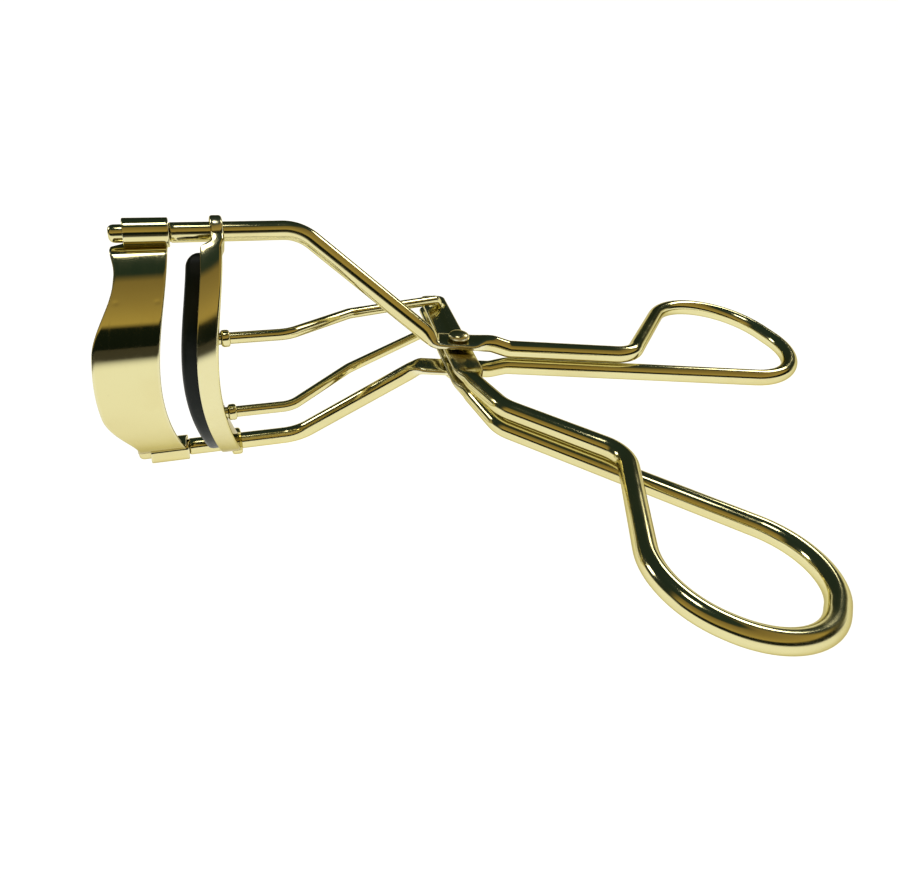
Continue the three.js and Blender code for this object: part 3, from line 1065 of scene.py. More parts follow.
class SubAssembly(ABC):
    """Pieces that are made and dressed together."""

    body: Body
    slot: Slot = Slot.GOLD

    @abstractmethod
    def build(self) -> dict[str, list[bpy.types.Object]]:
        """Makes the pieces.

        Returns:
            The objects that stand for each CAD node, by the node's name.
        """

    def dress(self, piece: bpy.types.Object) -> None:
        """Gives a piece its finish where its making hasn't."""

    def make(self) -> list[bpy.types.Object]:
        """Builds, dresses and hands over the pieces.

        Returns:
            The finished pieces, each riding on its body.
        """
        done = []
        for node, pieces in self.build().items():
            for piece in pieces:
                self.dress(piece)
                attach(piece, self.body.value)
                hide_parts(node)
                done.append(piece)
        return done


@dataclass
class FrameWire(SubAssembly):
    """The one bent wire of rods, pivot flats and upper handle."""

    tip_x: float = 46.1
    tip_radius: float = 1.15
    tip_dome: float = 0.75
    tip_steps: tuple[float, ...] = (0, 0.03, 0.1, 0.22, 0.4, 0.65, 1.0)
    tip_end: float = 0.45
    turned_from: float = 38.6
    turned_run: float = 0.25
    bend_x: float = 21.9
    bend_radius: float = 6.0
    flat_y: float = 2.2
    flat_width: float = 2.2
    flat_thickness: float = 0.45
    flat_front: float = -2.4
    racked_front: float = 2.2
    flat_back: float = 2.2
    flat_bend_radius: float = 1.6
    draw_in: Band = (0.4, 3.0)
    draw_in_radius: float = 3.0
    press_run: float = 2.6
    bore: float = 1.15
    handle: Handle = Handle(0.0, 0.0, math.radians(16.3), 1)
    loop: FingerLoop = FingerLoop(((27.6, 0, 4.5), (47.6, 35.4, 11.2), (63.4, 0, 9.2)))
    body = Body.FRAME

    def front(self, side: Side) -> float:
        """Where a side's flat begins in front of the pivot."""
        return self.flat_front - (self.racked_front if side is Side.RIGHT else 0.0)

    def side_route(self, side: Side) -> list[Vector]:
        """Routes one side.

        Args:
            side: which side.

        Returns:
            Its centre line, from the rod's tip to the straight part of the handle.
        """
        sign = side.value
        flat_corner = self.handle.place(self.front(side) - 1, 0, sign * self.flat_y)
        tip = [self.tip_x - self.tip_dome * share for share in self.tip_steps]
        turned = [self.turned_from + self.turned_run * share for share in (1, 0.48, 0)]
        back = self.flat_back + self.press_run
        begin, end = self.draw_in
        return bent(
            [
                *(Corner(RODS.point(x, side)) for x in (*tip, *turned)),
                Corner(RODS.point(self.bend_x, side), self.bend_radius),
                Corner(flat_corner, self.flat_bend_radius),
                Corner(self.handle.place(self.flat_back, 0, sign * self.flat_y)),
                Corner(
                    self.handle.place(back + begin, 0, sign * self.flat_y),
                    self.draw_in_radius,
                ),
                Corner(
                    self.handle.place(back + end, 0, sign * self.handle.half_gap),
                    self.draw_in_radius,
                ),
                Corner(self.handle.place(self.loop.begin, 0, sign * self.handle.half_gap)),
            ]
        )

    def size(self, point: Vector) -> tuple[float, float]:
        """Gives the frame wire's size along its route.

        Args:
            point: a place on the route.

        Returns:
            Half width and half thickness there.
        """
        x = point.x - RODS.racked(point.y)
        if x > self.turned_from - 0.01 and abs(point.y) > RODS.y - 1:
            into_dome = (x - (self.tip_x - self.tip_dome)) / self.tip_dome
            dome = math.sqrt(max(1 - max(into_dome, 0.0) ** 2, 0.0))
            turned = smooth(x, self.turned_from, self.turned_from + self.turned_run)
            radius = mix(WIRE_RADIUS, self.tip_radius, turned)
            radius *= mix(self.tip_end, 1.0, dome) if into_dome > 0 else 1.0
            return radius, radius
        side = Side.LEFT if point.y > 0 else Side.RIGHT
        angle = self.handle.angle
        distance = -point.x * math.cos(angle) - point.z * math.sin(angle)
        front = self.front(side)
        entering = smooth(distance, front - self.press_run, front)
        leaving = 1 - smooth(distance, self.flat_back, self.flat_back + self.press_run)
        press = min(entering, leaving)
        return (
            mix(WIRE_RADIUS, self.flat_width, press),
            mix(WIRE_RADIUS, self.flat_thickness, press),
        )

    def build(self) -> dict[str, list[bpy.types.Object]]:
        """Draws the wire and bores its two flats for the rivet.

        Returns:
            The wire, by its CAD node.
        """
        route = [
            *self.side_route(Side.LEFT),
            *self.loop.route(self.handle),
            *self.side_route(Side.RIGHT)[::-1],
        ]
        wire = WirePress().draw("bent_frame_wire", route, self.size, Y_AXIS, Finish.WIRE)
        return {"frame_wire": [cut(wire, [across_cutter(self.bore, 0, 0)])]}


@dataclass
class LeverWire(SubAssembly):
    """The bent wire of the lower handle, with the two flats that the push rods hook into."""

    flat_y: float = 1.0
    flat_width: float = 2.2
    flat_thickness: float = 0.45
    flat_top: float = -19.7
    flat_bottom: float = 6.5
    end_half_width: float = 1.4
    end_rounding: float = 0.9
    end_steps: tuple[float, ...] = (0, 0.01, 0.04, 0.09, 0.16, 0.25, 0.36, 0.5, 0.64, 0.8, 1.0)
    press_run: float = 4.0
    lean: float = math.radians(7.8)
    corner_radius: float = 5.0
    bore: float = 1.15
    hook_distance: float = 15.55
    hook_hole: float = 1.47
    handle: Handle = Handle(0.55, -18.2, math.radians(51.6), -1)
    loop: FingerLoop = FingerLoop(
        ((17.1, 0, 4.5), (27.2, 21.4, 9.3), (43.1, 19.7, 10.0), (43.0, 0, 9.5))
    )
    body = Body.LEVER

    def down(self, distance: float, y: float) -> Vector:
        """A place on the flats, measured down from the pivot."""
        return Vector((math.sin(self.lean) * distance, y, -math.cos(self.lean) * distance))

    def hook_place(self) -> Vector:
        """The middle of the push rods' holes."""
        return self.down(-self.hook_distance, 0)

    def side_route(self, side: Side) -> list[Vector]:
        """Routes one side.

        Args:
            side: which side.

        Returns:
            Its centre line, from the hook end to the straight part of the handle.
        """
        sign = side.value
        y = sign * self.flat_y
        ends = [self.flat_top + share * self.end_rounding for share in self.end_steps]
        stops = [*ends, 0.0, self.flat_bottom]
        return bent(
            [
                *(Corner(self.down(stop, y)) for stop in stops),
                Corner(self.down(self.flat_bottom + self.press_run, y)),
                Corner(
                    Vector((self.handle.x, sign * self.handle.half_gap, self.handle.z)),
                    self.corner_radius,
                ),
                Corner(self.handle.place(self.loop.begin, 0, sign * self.handle.half_gap)),
            ]
        )

    def size(self, point: Vector) -> tuple[float, float]:
        """Gives the lever wire's size along its route.

        Args:
            point: a place on the route.

        Returns:
            Half width and half thickness there.
        """
        distance = point.x * math.sin(self.lean) - point.z * math.cos(self.lean)
        press = 1 - smooth(distance, self.flat_bottom, self.flat_bottom + self.press_run)
        short = 1 - min(max((distance - self.flat_top) / self.end_rounding, 0.0), 1.0)
        width = mix(self.end_half_width, self.flat_width, math.sqrt(1 - short**2))
        return mix(WIRE_RADIUS, width, press), mix(WIRE_RADIUS, self.flat_thickness, press)

    def build(self) -> dict[str, list[bpy.types.Object]]:
        """Draws the wire and bores its flats for the rivet and the hooks.

        Returns:
            The wire, by its CAD node.
        """
        route = [
            *self.side_route(Side.LEFT),
            *self.loop.route(self.handle),
            *self.side_route(Side.RIGHT)[::-1],
        ]
        wire = WirePress().draw("bent_lever_wire", route, self.size, Y_AXIS, Finish.WIRE)
        hook = self.hook_place()
        cutters = [
            across_cutter(self.bore, 0, 0),
            across_cutter(self.hook_hole, hook.x, hook.z),
        ]
        return {"lever_wire": [cut(wire, cutters)]}


@dataclass
class FixedJaw(SubAssembly):
    """The curved sheet jaw, whose two ends are rolled round the rods' tips."""

    roll_radius: float = 1.675
    roll_turn: float = math.radians(296)
    roll_rear: float = 38.85
    roll_front: float = 44.4
    thickness: float = 0.5
    rear: float = 39.15
    neck: float = 6.2
    middle: float = 8.0
    flare: float = 0.7
    edge_radius: float = 0.17
    edge_wear: float = 0.3
    tuck: Band = (0.83, 0.985)
    narrowing: Band = (0.22, 0.65)
    flaring: Band = (0.7, 0.9)
    meeting_roll: Band = (0.93, 1.0)
    plate_steps: int = 220
    roll_steps: int = 96
    face_points: int = 30
    dimples: tuple[tuple[float, float], ...] = ((33.0, 45.0), (32.7, 40.15))
    dimple_radius: float = 0.4
    dimple_depth: float = 0.038
    dimple_fall: float = 2.2
    body = Body.FRAME

    def centre_line(self) -> list[tuple[float, Vector, Vector, float]]:
        """Finds stations from the middle of the plate to the end of the roll.

        Returns:
            (angle, centre, outward direction, how far into the roll) of each station, for
            the left side.
        """
        stations = []
        end = ARC.rod_angle
        for step in range(self.plate_steps + 1):
            angle = end * step / self.plate_steps
            inset = self.roll_radius * smooth(ARC.share(angle), *self.tuck)
            centre = ARC.point(0, angle, ARC.radius - inset)
            stations.append((angle, centre, 0.0))
        rod = Vector((0, RODS.y, RODS.z))
        radial = Vector((0, math.sin(end), -math.cos(end)))
        tangent = Vector((0, math.cos(end), math.sin(end)))
        for step in range(1, self.roll_steps + 1):
            rolled = step / self.roll_steps
            turn = self.roll_turn * rolled
            spoke = tangent * math.sin(turn) - radial * math.cos(turn)
            stations.append((end, rod + spoke * self.roll_radius, rolled))
        made = []
        for index, (angle, centre, rolled) in enumerate(stations):
            before = stations[max(index - 1, 0)][1]
            after = stations[min(index + 1, len(stations) - 1)][1]
            along = (after - before).normalized()
            along.x = 0
            outward = Vector((0, along.z, -along.y)).normalized()
            made.append((angle, centre, outward, rolled))
        return made

    def edges(self, angle: float, rolled: float, y: float) -> tuple[float, float]:
        """Finds the sheet's two edges at a station.

        Args:
            angle: the station's angle on the arc.
            rolled: how far into the roll it lies, 0 on the plate.
            y: its place across the curler.

        Returns:
            The x of the rear and the front edge.
        """
        share = ARC.share(angle)
        width = mix(self.middle, self.neck, smooth(share, *self.narrowing))
        width += self.flare * smooth(share, *self.flaring)
        into_roll = max(smooth(share, *self.meeting_roll), 1.0 if rolled > 0 else 0.0)
        rear = mix(self.rear, self.roll_rear, into_roll)
        front = mix(self.rear + width, self.roll_front, into_roll)
        rack = RODS.racked(y)
        return rear + rack, front + rack

    def dimple(self, x: float, angle: float, side: Side) -> float:
        """Gives the depth of the press marks on the outer face.

        Args:
            x: the place along the rods.
            angle: its angle on the arc.
            side: its side; only the left one is marked.

        Returns:
            The depth there.
        """
        if side is Side.RIGHT:
            return 0.0
        depth = 0.0
        for mark_angle, mark_x in self.dimples:
            across = (angle - math.radians(mark_angle)) * ARC.radius
            distance = math.hypot(x - mark_x, across) / self.dimple_radius
            depth += self.dimple_depth * math.exp(-self.dimple_fall * distance**2)
        return depth

    def section(self, rear: float, front: float) -> Profile:
        """Draws the sheet's section with finely divided faces.

        Args:
            rear: the rear edge's x.
            front: the front edge's x.

        Returns:
            (x, height over the middle of the sheet) of its points.
        """
        half, radius = self.thickness / 2, self.edge_radius
        ring = rounded_outline(
            [
                (rear, half, radius),
                (front, half, radius),
                (front, -half, radius),
                (rear, -half, radius),
            ]
        )
        corner = CORNER_STEPS + 1
        face_starts = (corner - 1, 3 * corner - 1)
        made: list[tuple[float, float]] = []
        for index, point in enumerate(ring):
            made.append(point)
            if index in face_starts:
                after = ring[index + 1]
                made += [
                    (mix(point[0], after[0], step / self.face_points), point[1])
                    for step in range(1, self.face_points)
                ]
        return made

    def ring(
        self, station: tuple[float, Vector, Vector, float], side: Side, travelled: float
    ) -> list[RingPoint]:
        """Places one section ring of the sheet.

        Args:
            station: the station on the left side's centre line.
            side: the side that the ring is on.
            travelled: the station's distance from the middle of the plate.

        Returns:
            The ring's points.
        """
        angle, centre, outward, rolled = station
        sign = side.value
        rear, front = self.edges(angle, rolled, sign * centre.y)
        bow = centre.x
        half = self.thickness / 2
        ring = []
        for x, height in self.section(rear, front):
            edge = min(x - rear, front - x)
            wear = 1 - smooth(edge, 0.0, self.edge_wear)
            if height > half - 0.01 and rolled == 0:
                height -= self.dimple(x, angle, side)
            place = centre + outward * height
            place = Vector((x + bow, sign * place.y, place.z))
            ring.append(RingPoint(place, (sign * travelled, x, height), wear))
        return ring

    def build(self) -> dict[str, list[bpy.types.Object]]:
        """Skins the whole sheet from one rolled end to the other.

        Returns:
            The sheet, by its CAD node.
        """
        line = self.centre_line()
        travelled = [0.0]
        for near, far in zip(line, line[1:]):
            travelled.append(travelled[-1] + (far[1] - near[1]).length)
        stations = list(zip(line, travelled))
        left = [self.ring(station, Side.LEFT, length) for station, length in stations]
        right = [self.ring(station, Side.RIGHT, length) for station, length in stations]
        return {"fixed_jaw": [skinned("curved_jaw_plate", right[:0:-1] + left)]}

    def dress(self, piece: bpy.types.Object) -> None:
        """Plates the sheet."""
        piece.data.materials.append(Finish.SHEET.material())


@dataclass
class MovingJaw(SubAssembly):
    """The pressed channel that slides on the rods, with an eyelet at each end."""

    rear: float = 32.45
    depth: float = 2.75
    height: float = 2.9
    wall: float = 0.45
    fold: float = 0.42
    lip: float = 0.15
    crease: float = 0.14
    filled_crease: float = 0.02
    full: float = math.radians(51.5)
    end: float = math.radians(55.5)
    fill_from: float = math.radians(-1.2)
    fill_to: float = math.radians(0.4)
    steps: int = 300
    eyelet_rear: float = 32.1
    eyelet_thickness: float = 1.6
    eyelet_outer: float = 2.12
    eyelet_bore: float = 1.6
    bore_easing: float = 0.12
    eyelet_rounding: float = 0.38
    strap_half: float = 1.46
    pin_y: float = 5.7
    pin_hole: float = 1.08
    body = Body.JAW_CARRIAGE

    def section(self, angle: float) -> Profile:
        """Draws the channel's section, which closes up into the strap.

        Args:
            angle: the section's angle on the arc.

        Returns:
            (x, distance from the arc's centre) of its points.
        """
        narrowing = smooth(abs(angle), self.full, self.end)
        filling = smooth(abs(angle), self.full + self.fill_from, self.full + self.fill_to)
        front = mix(self.rear + self.depth, self.eyelet_rear + self.eyelet_thickness, narrowing)
        floor = mix(self.rear + self.wall, front - 0.05, filling)
        rear = mix(self.rear, self.eyelet_rear, narrowing)
        half = mix(self.height / 2, self.strap_half, narrowing)
        inner, outer = ARC.radius - half, ARC.radius + half
        crease = mix(self.crease, self.filled_crease, filling)
        return rounded_outline(
            [
                (rear, inner, self.fold),
                (front, inner, self.lip),
                (front, inner + self.wall, self.lip),
                (floor, inner + self.wall, crease),
                (floor, outer - self.wall, crease),
                (front, outer - self.wall, self.lip),
                (front, outer, self.lip),
                (rear, outer, self.fold),
            ]
        )

    def eyelet(self, side: Side) -> bpy.types.Object:
        """Makes the ring that goes round one rod.

        Args:
            side: which rod.

        Returns:
            The ring.
        """
        profile = rounded_outline(
            [
                (0, self.eyelet_bore, self.bore_easing),
                (self.eyelet_thickness, self.eyelet_bore, self.bore_easing),
                (self.eyelet_thickness, self.eyelet_outer, self.eyelet_rounding),
                (0, self.eyelet_outer, self.eyelet_rounding),
            ]
        )
        start = Vector((self.eyelet_rear, side.value * RODS.y, RODS.z))
        return lathed("eyelet", profile, start, Vector((1, 0, 0)))

    def build(self) -> dict[str, list[bpy.types.Object]]:
        """Skins the channel and its straps, adds the eyelets and bores all holes.

        Returns:
            The channel, by its CAD node.
        """
        rings = []
        for step in range(self.steps + 1):
            angle = ARC.rod_angle * (2 * step / self.steps - 1)
            travelled = ARC.radius * angle
            ring = []
            for x, radius in self.section(angle):
                over = abs(radius - ARC.radius)
                wear = smooth(x, self.rear + self.depth - 0.2, self.rear + self.depth)
                wear = max(wear, 0.3 * smooth(over, self.height / 2 - 0.06, self.height / 2))
                grain = (travelled, x, radius)
                ring.append(RingPoint(ARC.point(x, angle, radius), grain, wear))
            rings.append(ring)
        channel = skinned("pad_channel_jaw", rings)
        cutters = []
        for side in Side:
            beside = Vector((0, side.value * RODS.y, RODS.z))
            reach = Vector((4, 0, 0))
            middle = beside + Vector((self.eyelet_rear + self.eyelet_thickness / 2, 0, 0))
            cutters.append(round_bar(self.eyelet_bore + 0.02, middle - reach, middle + reach))
            angle = side.value * math.asin(self.pin_y / ARC.radius)
            pin = ARC.point(self.rear, angle, ARC.radius)
            cutters.append(
                round_bar(self.pin_hole, pin - Vector((2, 0, 0)), pin + Vector((1.3, 0, 0)))
            )
        cut(channel, cutters)
        combined(channel, [self.eyelet(side) for side in Side], "UNION")
        return {"moving_jaw": [channel]}

    def dress(self, piece: bpy.types.Object) -> None:
        """Plates the channel."""
        piece.data.materials.clear()
        piece.data.materials.append(Finish.SHEET.material())


@dataclass
class LashPad(SubAssembly):
    """The moulded rubber pad, which sits in the channel and stands proud of its lips."""

    rear: float = 33.2
    front: float = 37.05
    half_height: float = 0.85
    corner: float = 0.1
    nose_share: float = 0.95
    nose_fullness: float = 0.8
    nose_steps: int = 20
    end: float = math.radians(51.2)
    end_height: float = 0.45
    rounding: float = math.radians(5.5)
    end_drop: float = 1.5
    steps: int = 220
    crowding: float = 0.6
    body = Body.JAW_CARRIAGE
    slot = Slot.RUBBER

    def section(self, angle: float) -> Profile:
        """Draws the pad's section with its rounded nose.

        Args:
            angle: the section's angle on the arc.

        Returns:
            (x, distance from the arc's centre) of its points.
        """
        short = max(abs(angle) - (self.end - self.rounding), 0.0) / self.rounding
        keep = math.sqrt(max(1 - short**2, 0.0))
        half = self.half_height * mix(self.end_height, 1.0, keep)
        front = self.front - self.end_drop * (1 - keep)
        nose = half * self.nose_share
        nose_from = front - nose
        inner, outer = ARC.radius - half, ARC.radius + half
        halfway = mix(self.rear, nose_from, 0.5)
        outline = [(self.rear, inner + self.corner), (self.rear + self.corner, inner)]
        outline.append((halfway, inner))
        for step in range(self.nose_steps + 1):
            turn = math.pi * (step / self.nose_steps - 0.5)
            reach = nose * abs(math.cos(turn)) ** self.nose_fullness
            outline.append((nose_from + reach, ARC.radius + half * math.sin(turn)))
        outline.append((halfway, outer))
        outline += [(self.rear + self.corner, outer), (self.rear, outer - self.corner)]
        return outline

    def build(self) -> dict[str, list[bpy.types.Object]]:
        """Skins the pad, with its rings closer together towards its rounded ends.

        Returns:
            The pad, by its CAD node.
        """
        rings = []
        for step in range(self.steps + 1):
            share = step / self.steps
            swing = math.sin(math.pi * (share - 0.5))
            angle = self.end * mix(2 * share - 1, swing, self.crowding)
            ring = []
            for x, radius in self.section(angle):
                nose = smooth(x, self.front - 0.3, self.front)
                grain = (ARC.radius * angle, x, radius)
                ring.append(RingPoint(ARC.point(x, angle, radius), grain, nose))
            rings.append(ring)
        return {"lash_pad": [skinned("rubber_lash_pad", rings)]}

    def dress(self, piece: bpy.types.Object) -> None:
        """Gives the pad its rubber."""
        piece.data.materials.append(Finish.RUBBER.material())


@dataclass
class PushRods(SubAssembly):
    """The two thin rods that join the moving jaw to the lever's hook holes."""

    radius: float = 0.78
    jaw_rear: float = 32.45
    jaw_wall: float = 0.45
    y: float = 5.7
    first_bend_x: float = 25.4
    first_bend_radius: float = 4.0
    second_bend: tuple[float, float, float] = (15.1, 4.65, 7.3)
    second_bend_radius: float = 5.0
    hook_x: float = -2.11
    hook_z: float = 15.25
    hook_radius: float = 1.0
    flat_y: float = 1.0
    flat_thickness: float = 0.45
    bead_radius: float = 1.14
    bead_length: float = 1.15
    bead_step: float = 0.1
    bead_steps: int = 19
    pin_easing: tuple[float, float, float] = (0.0, 0.06, 0.18)
    hook_easing: tuple[float, float, float] = (0.15, 0.05, 0.0)
    pin_end: float = 0.78
    hook_end: float = 0.7
    body = Body.JAW_CARRIAGE

    @property
    def inside(self) -> float:
        """Distance of the hooks' ends from the curler's middle."""
        return self.flat_y - self.flat_thickness - CLEARANCE

    def pin_start(self) -> Vector:
        """Where the left rod meets the channel's rear wall."""
        return ARC.point(self.jaw_rear, math.asin(self.y / ARC.radius), ARC.radius)

    def pin_front(self, start: Vector) -> float:
        """The x of the pin's end inside the channel."""
        return start.x + self.jaw_wall + CLEARANCE / 2

    def route(self, side: Side) -> list[Vector]:
        """Routes one rod.

        Args:
            side: which rod.

        Returns:
            Its centre line, from its pin in the jaw to its hook.
        """
        sign = side.value
        start = self.pin_start()
        over_flat = self.flat_y + self.flat_thickness + CLEARANCE + self.radius
        x, y, z = self.second_bend
        pin = [self.pin_front(start) - easing for easing in self.pin_easing]
        bead_from = start.x - CLEARANCE / 2
        bead = [bead_from - self.bead_step * step for step in range(self.bead_steps)]
        hook = [self.inside + easing for easing in self.hook_easing]
        return bent(
            [
                *(Corner(Vector((place, sign * self.y, start.z))) for place in (*pin, *bead)),
                Corner(
                    Vector((self.first_bend_x, sign * self.y, start.z)),
                    self.first_bend_radius,
                ),
                Corner(Vector((x, sign * y, z)), self.second_bend_radius),
                Corner(
                    Vector((self.hook_x, sign * over_flat, self.hook_z)), self.hook_radius
                ),
                *(Corner(Vector((self.hook_x, sign * place, self.hook_z))) for place in hook),
            ]
        )

    def size(self, point: Vector) -> tuple[float, float]:
        """Gives the rod's size, with the upset bead behind the jaw and eased ends.

        Args:
            point: a place on the route.

        Returns:
            The radius there, as half width and as half thickness.
        """
        start = self.pin_start()
        from_pin = self.pin_front(start) - point.x
        from_hook = abs(point.y) - self.inside
        radius = self.radius
        radius *= mix(self.pin_end, 1.0, smooth(from_pin, 0.0, self.pin_easing[-1]))
        radius *= mix(self.hook_end, 1.0, smooth(from_hook, 0.0, self.hook_easing[0]))
        middle = start.x - CLEARANCE - self.bead_length / 2
        place = abs(point.x - middle) / (self.bead_length / 2)
        if place < 1:
            radius = mix(radius, self.bead_radius, (1 - place**4) ** 0.5)
        return radius, radius

    def build(self) -> dict[str, list[bpy.types.Object]]:
        """Draws both rods.

        Returns:
            The rods, each by its CAD node.
        """
        press = WirePress(points_round=32)
        made = {}
        for side in Side:
            name = side.name.lower()
            wire = press.draw(
                f"hooked_push_rod_{name}", self.route(side), self.size, Z_AXIS, Finish.WIRE
            )
            made[f"push_rod_{name}"] = [wire]
        return made


@dataclass
class Pivot(SubAssembly):
    """The peened rivet and the spacer between the lever's flats."""

    face_y: float = 2.95
    head_height: float = 0.95
    head_steps: int = 16
    head_fullness: float = 0.8
    rim: float = 0.14
    head_radius: float = 1.6
    head_underside: Profile = ((0.05, -0.02), (0.0, -0.08))
    hammered_low: float = 0.012
    hammered_high: float = 0.008
    worn_from: float = 1.3
    segments: int = 64
    shank_radius: float = 0.85
    spacer_inner: float = 1.15
    spacer_outer: float = 2.0
    spacer_half: float = 0.25
    body = Body.FRAME

    def head_profile(self) -> list[tuple[float, float]]:
        """Draws half of one head's outline.

        Returns:
            (height over the face, radius) of its points, from its crown to its underside.
        """
        crown = [(self.head_height, 0.0)]
        for step in range(1, self.head_steps + 1):
            turn = math.pi / 2 * step / self.head_steps
            dome = math.cos(turn) ** self.head_fullness
            crown.append((mix(self.rim, self.head_height, dome), self.head_radius * math.sin(turn)))
        return crown + [(height, self.head_radius + more) for height, more in self.head_underside]

    def rivet(self) -> bpy.types.Object:
        """Makes the rivet as one turned body with its two hammered heads.

        Returns:
            The rivet.
        """
        left = [(self.face_y + height, radius) for height, radius in self.head_profile()]
        shank = [(self.face_y, self.shank_radius + 0.05), (self.face_y - 0.06, self.shank_radius)]
        half = left + shank
        profile = half + [(-y, radius) for y, radius in reversed(half)]
        rings = []
        for y, radius in profile:
            wear = smooth(radius, self.worn_from, self.head_radius)
            ring = []
            for step in range(self.segments):
                turn = 2 * math.pi * step / self.segments
                hammered = 1 + self.hammered_low * math.sin(3 * turn + y)
                hammered += self.hammered_high * math.sin(7 * turn)
                reach = max(radius, 1e-3) * (hammered if radius > 1 else 1.0)
                place = Vector((reach * math.cos(turn), y, reach * math.sin(turn)))
                ring.append(RingPoint(place, (radius, turn, y), wear))
            rings.append(ring)
        return skinned("peened_rivet", rings)

    def spacer(self) -> bpy.types.Object:
        """Makes the small ring that keeps the lever's flats apart.

        Returns:
            The ring.
        """
        profile = rounded_outline(
            [
                (-self.spacer_half, self.spacer_inner, 0.06),
                (self.spacer_half, self.spacer_inner, 0.06),
                (self.spacer_half, self.spacer_outer, 0.1),
                (-self.spacer_half, self.spacer_outer, 0.1),
            ]
        )
        return lathed("spacer_ring", profile, Vector((0, 0, 0)), Y_AXIS)

    def build(self) -> dict[str, list[bpy.types.Object]]:
        """Makes the rivet and the spacer."""
        return {"pivot_rivet": [self.rivet()], "pivot_spacer": [self.spacer()]}

    def dress(self, piece: bpy.types.Object) -> None:
        """Plates the pivot's parts."""
        piece.data.materials.append(Finish.RIVET.material())


# ------------------------------------------------------------------ studio


Stops = tuple[tuple[float, tuple[float, float, float]], ...]


@dataclass(frozen=True)
class Softbox:
    """One rectangular studio light, aimed at the curler."""

    name: str
    place: tuple[float, float, float]
    size: tuple[float, float]
    power: float
    tint: tuple[float, float, float] = (1.0, 0.98, 0.94)

    def hang(self, aim: Vector) -> None:
        """Puts the light up.

        Args:
            aim: the place that it points at, in metres.
        """
        lamp = bpy.data.lights.new(self.name, "AREA")
        lamp.shape = "RECTANGLE"
        lamp.size, lamp.size_y = self.size
        lamp.energy, lamp.color = self.power, self.tint
        made = bpy.data.objects.new(self.name, lamp)
        made.location = self.place
        made.rotation_euler = (aim - Vector(self.place)).to_track_quat("-Z", "Y").to_euler()
        bpy.context.scene.collection.objects.link(made)


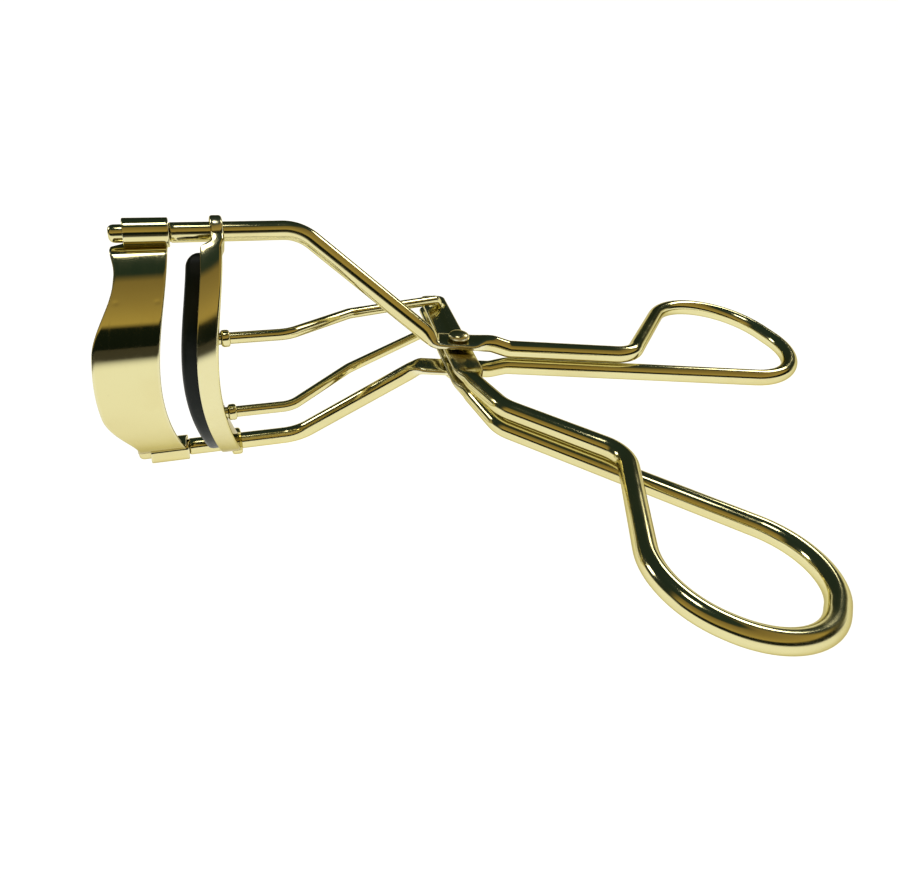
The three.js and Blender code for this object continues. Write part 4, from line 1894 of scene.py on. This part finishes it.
@dataclass
class Studio:
    """A pale sweep of paper that glows with a painted pool of light, a dim room with a warm wall,
    soft lights and the camera.
    """

    paper_half: float = 6.0
    paper_rows: Profile = (
        *((-2.5, 0.4), (-2.45, 0.3), (-2.35, 0.16), (-2.2, 0.06), (-1.9, 0.01)),
        *((-1.6, 0.0), (-1.4, 0.0), (-1.2, 0.0), (2.8, 0.0), (3.0, 0.0)),
    )
    paper_tone: Tone = (0.45, 0.45, 0.445, 1)
    fibre_tone: Tone = (0.42, 0.42, 0.41, 1)
    # painted light on the paper: round the curler it glows bright, and past the pool's edge in y
    # its colour and glow fade to painted shade
    shaded_tone: Tone = (0.03, 0.03, 0.03, 1)
    paper_light: Tone = (1.0, 1.0, 0.99, 1)
    shaded_light: Tone = (0.03, 0.03, 0.028, 1)
    paper_glow: float = 0.97
    painted_light_pool_edge: Band = (0.052, 0.150)
    near_stops: Stops = (
        (0.00, (0.006, 0.009, 0.006)),
        (0.27, (0.008, 0.012, 0.008)),
        (0.33, (0.48, 0.35, 0.105)),
        (0.60, (0.33, 0.24, 0.080)),
        (0.79, (0.25, 0.18, 0.062)),
        (0.85, (0.020, 0.036, 0.028)),
        (1.00, (0.026, 0.042, 0.034)),
    )
    far_stops: Stops = (
        (0.00, (1.00, 1.00, 0.98)),
        (0.08, (0.96, 0.96, 0.92)),
        (0.13, (0.16, 0.14, 0.06)),
        (0.22, (0.022, 0.032, 0.026)),
        (1.00, (0.020, 0.034, 0.030)),
    )
    softboxes: tuple[Softbox, ...] = (
        Softbox("overhead_softbox", (-0.04, 0.07, 0.70), (0.14, 0.14), 0.35),
        Softbox("left_softbox", (-0.85, -0.30, 0.60), (0.30, 0.25), 1.5),
        Softbox("right_softbox", (0.70, -0.55, 0.60), (0.22, 0.22), 1.1),
    )
    eye: tuple[float, float, float] = (38.859, 47.971, -87.708)
    view: tuple[float, float, float] = (-0.341524, -0.552514, 0.760322)
    up: tuple[float, float, float] = (-0.123835, 0.828363, 0.546334)
    lens: float = 27.706
    sensor_width: float = 36.0
    clip: Band = (0.005, 50.0)
    aim: tuple[float, float, float] = (0, 0, 0.02)

    def paper(self) -> bpy.types.Object:
        """Lays the sweep: flat under the curler and rising far behind it, glowing with a painted
        pool of light that fades to painted shade away from the curler.

        Returns:
            The sweep.
        """
        sides = (-self.paper_half, self.paper_half)
        points = [(x, y, z) for y, z in self.paper_rows for x in sides]
        rows = range(len(self.paper_rows) - 1)
        faces = [(2 * i, 2 * i + 1, 2 * i + 3, 2 * i + 2) for i in rows]
        mesh = bpy.data.meshes.new("paper_sweep")
        mesh.from_pydata(points, [], faces)
        made = new_object("paper_sweep", mesh)
        modifier = made.modifiers.new("curve", "SUBSURF")
        modifier.levels = modifier.render_levels = 3
        mesh.shade_smooth()
        nodes = ShaderNodes("glowing_paper_painted_light_pool")
        place = nodes.place()
        fibre = nodes.noise(place, 900, 3.0)
        across = nodes.add("ShaderNodeSeparateXYZ", {}, {0: place}, "Y")
        # painted pool of light: 0 round the curler, 1 past the edge band in y (0.052 to 0.150 m),
        # where the paper turns to painted shade
        painted_light_falloff = across.step(*self.painted_light_pool_edge)
        lit = nodes.colour(fibre * 0.1, self.paper_tone, self.fibre_tone)
        tone = nodes.colour(painted_light_falloff, lit, self.shaded_tone)
        # painted glow: the paper shines as if lit, brightest round the curler and dimmed to painted
        # shade past the pool's edge
        glow = nodes.colour(painted_light_falloff, self.paper_light, self.shaded_light)
        nodes.feed(nodes.shader, "Emission Color", glow)
        nodes.feed(nodes.shader, "Emission Strength", self.paper_glow)
        mesh.materials.append(nodes.finish(tone, 0.7 + fibre * 0.1, fibre, 2e-6, 0.0))
        return made

    def room(self) -> None:
        """Colours the room by height over the horizon."""
        world = bpy.data.worlds.new("dim_room")
        world.use_nodes = True
        bpy.context.scene.world = world
        nodes = Nodes(world.node_tree)
        direction = nodes.add("ShaderNodeTexCoord", output="Generated")
        height = nodes.add("ShaderNodeSeparateXYZ", {}, {0: direction}, "Z")
        nearness = nodes.add("ShaderNodeSeparateXYZ", {}, {0: direction}, "Y").step(-0.1, 0.2)
        far, near = (self.ramp(nodes, height, stops) for stops in (self.far_stops, self.near_stops))
        sky = world.node_tree.nodes["Background"]
        nodes.feed(sky, "Color", nodes.colour(nearness, far, near))
        nodes.feed(sky, "Strength", 1.0)

    @staticmethod
    def ramp(nodes: Nodes, factor: Socket, stops: Stops) -> Socket:
        """Adds a colour ramp.

        Args:
            nodes: the tree's builder.
            factor: the place on the ramp.
            stops: the place and colour of each stop.

        Returns:
            The ramp's colour.
        """
        ramp = nodes.tree.nodes.new("ShaderNodeValToRGB")
        elements = ramp.color_ramp.elements
        for index, (place, tone) in enumerate(stops):
            stop = elements[index] if index < 2 else elements.new(place)
            stop.position, stop.color = place, (*tone, 1)
        nodes.feed(ramp, 0, factor)
        return Socket(nodes, ramp.outputs[0])

    def camera(self) -> None:
        """Stands the camera where the curler is seen from its left, below and in front."""
        turn = AXES.placing().to_3x3()
        view, up = (turn @ Vector(self.view)).normalized(), (turn @ Vector(self.up)).normalized()
        right = view.cross(up).normalized()
        up = right.cross(view)
        lens = bpy.data.cameras.new("camera")
        lens.sensor_width, lens.lens = self.sensor_width, self.lens
        lens.clip_start, lens.clip_end = self.clip
        made = bpy.data.objects.new("camera", lens)
        pose = Matrix((right, up, -view)).transposed().to_4x4()
        pose.translation = AXES.placing() @ Vector(self.eye)
        made.matrix_world = pose
        bpy.context.scene.collection.objects.link(made)
        bpy.context.scene.camera = made

    def set_up(self) -> None:
        """Makes the whole studio."""
        self.paper()
        self.room()
        for softbox in self.softboxes:
            softbox.hang(Vector(self.aim))
        self.camera()
        bpy.context.scene.view_settings.view_transform = "Standard"


def main() -> None:
    """Builds the curler's sub-assemblies in order, then the studio round them."""
    logging.basicConfig(level=logging.INFO, format="%(name)s: %(message)s")
    for assembly in (
        FrameWire(),
        LeverWire(),
        FixedJaw(),
        MovingJaw(),
        LashPad(),
        PushRods(),
        Pivot(),
    ):
        for piece in assembly.make():
            count = len(piece.data.polygons)
            LOG.info("%s: %d faces on %s", piece.name, count, assembly.body.value)
    Studio().set_up()


if __name__ == "__main__":
    main()
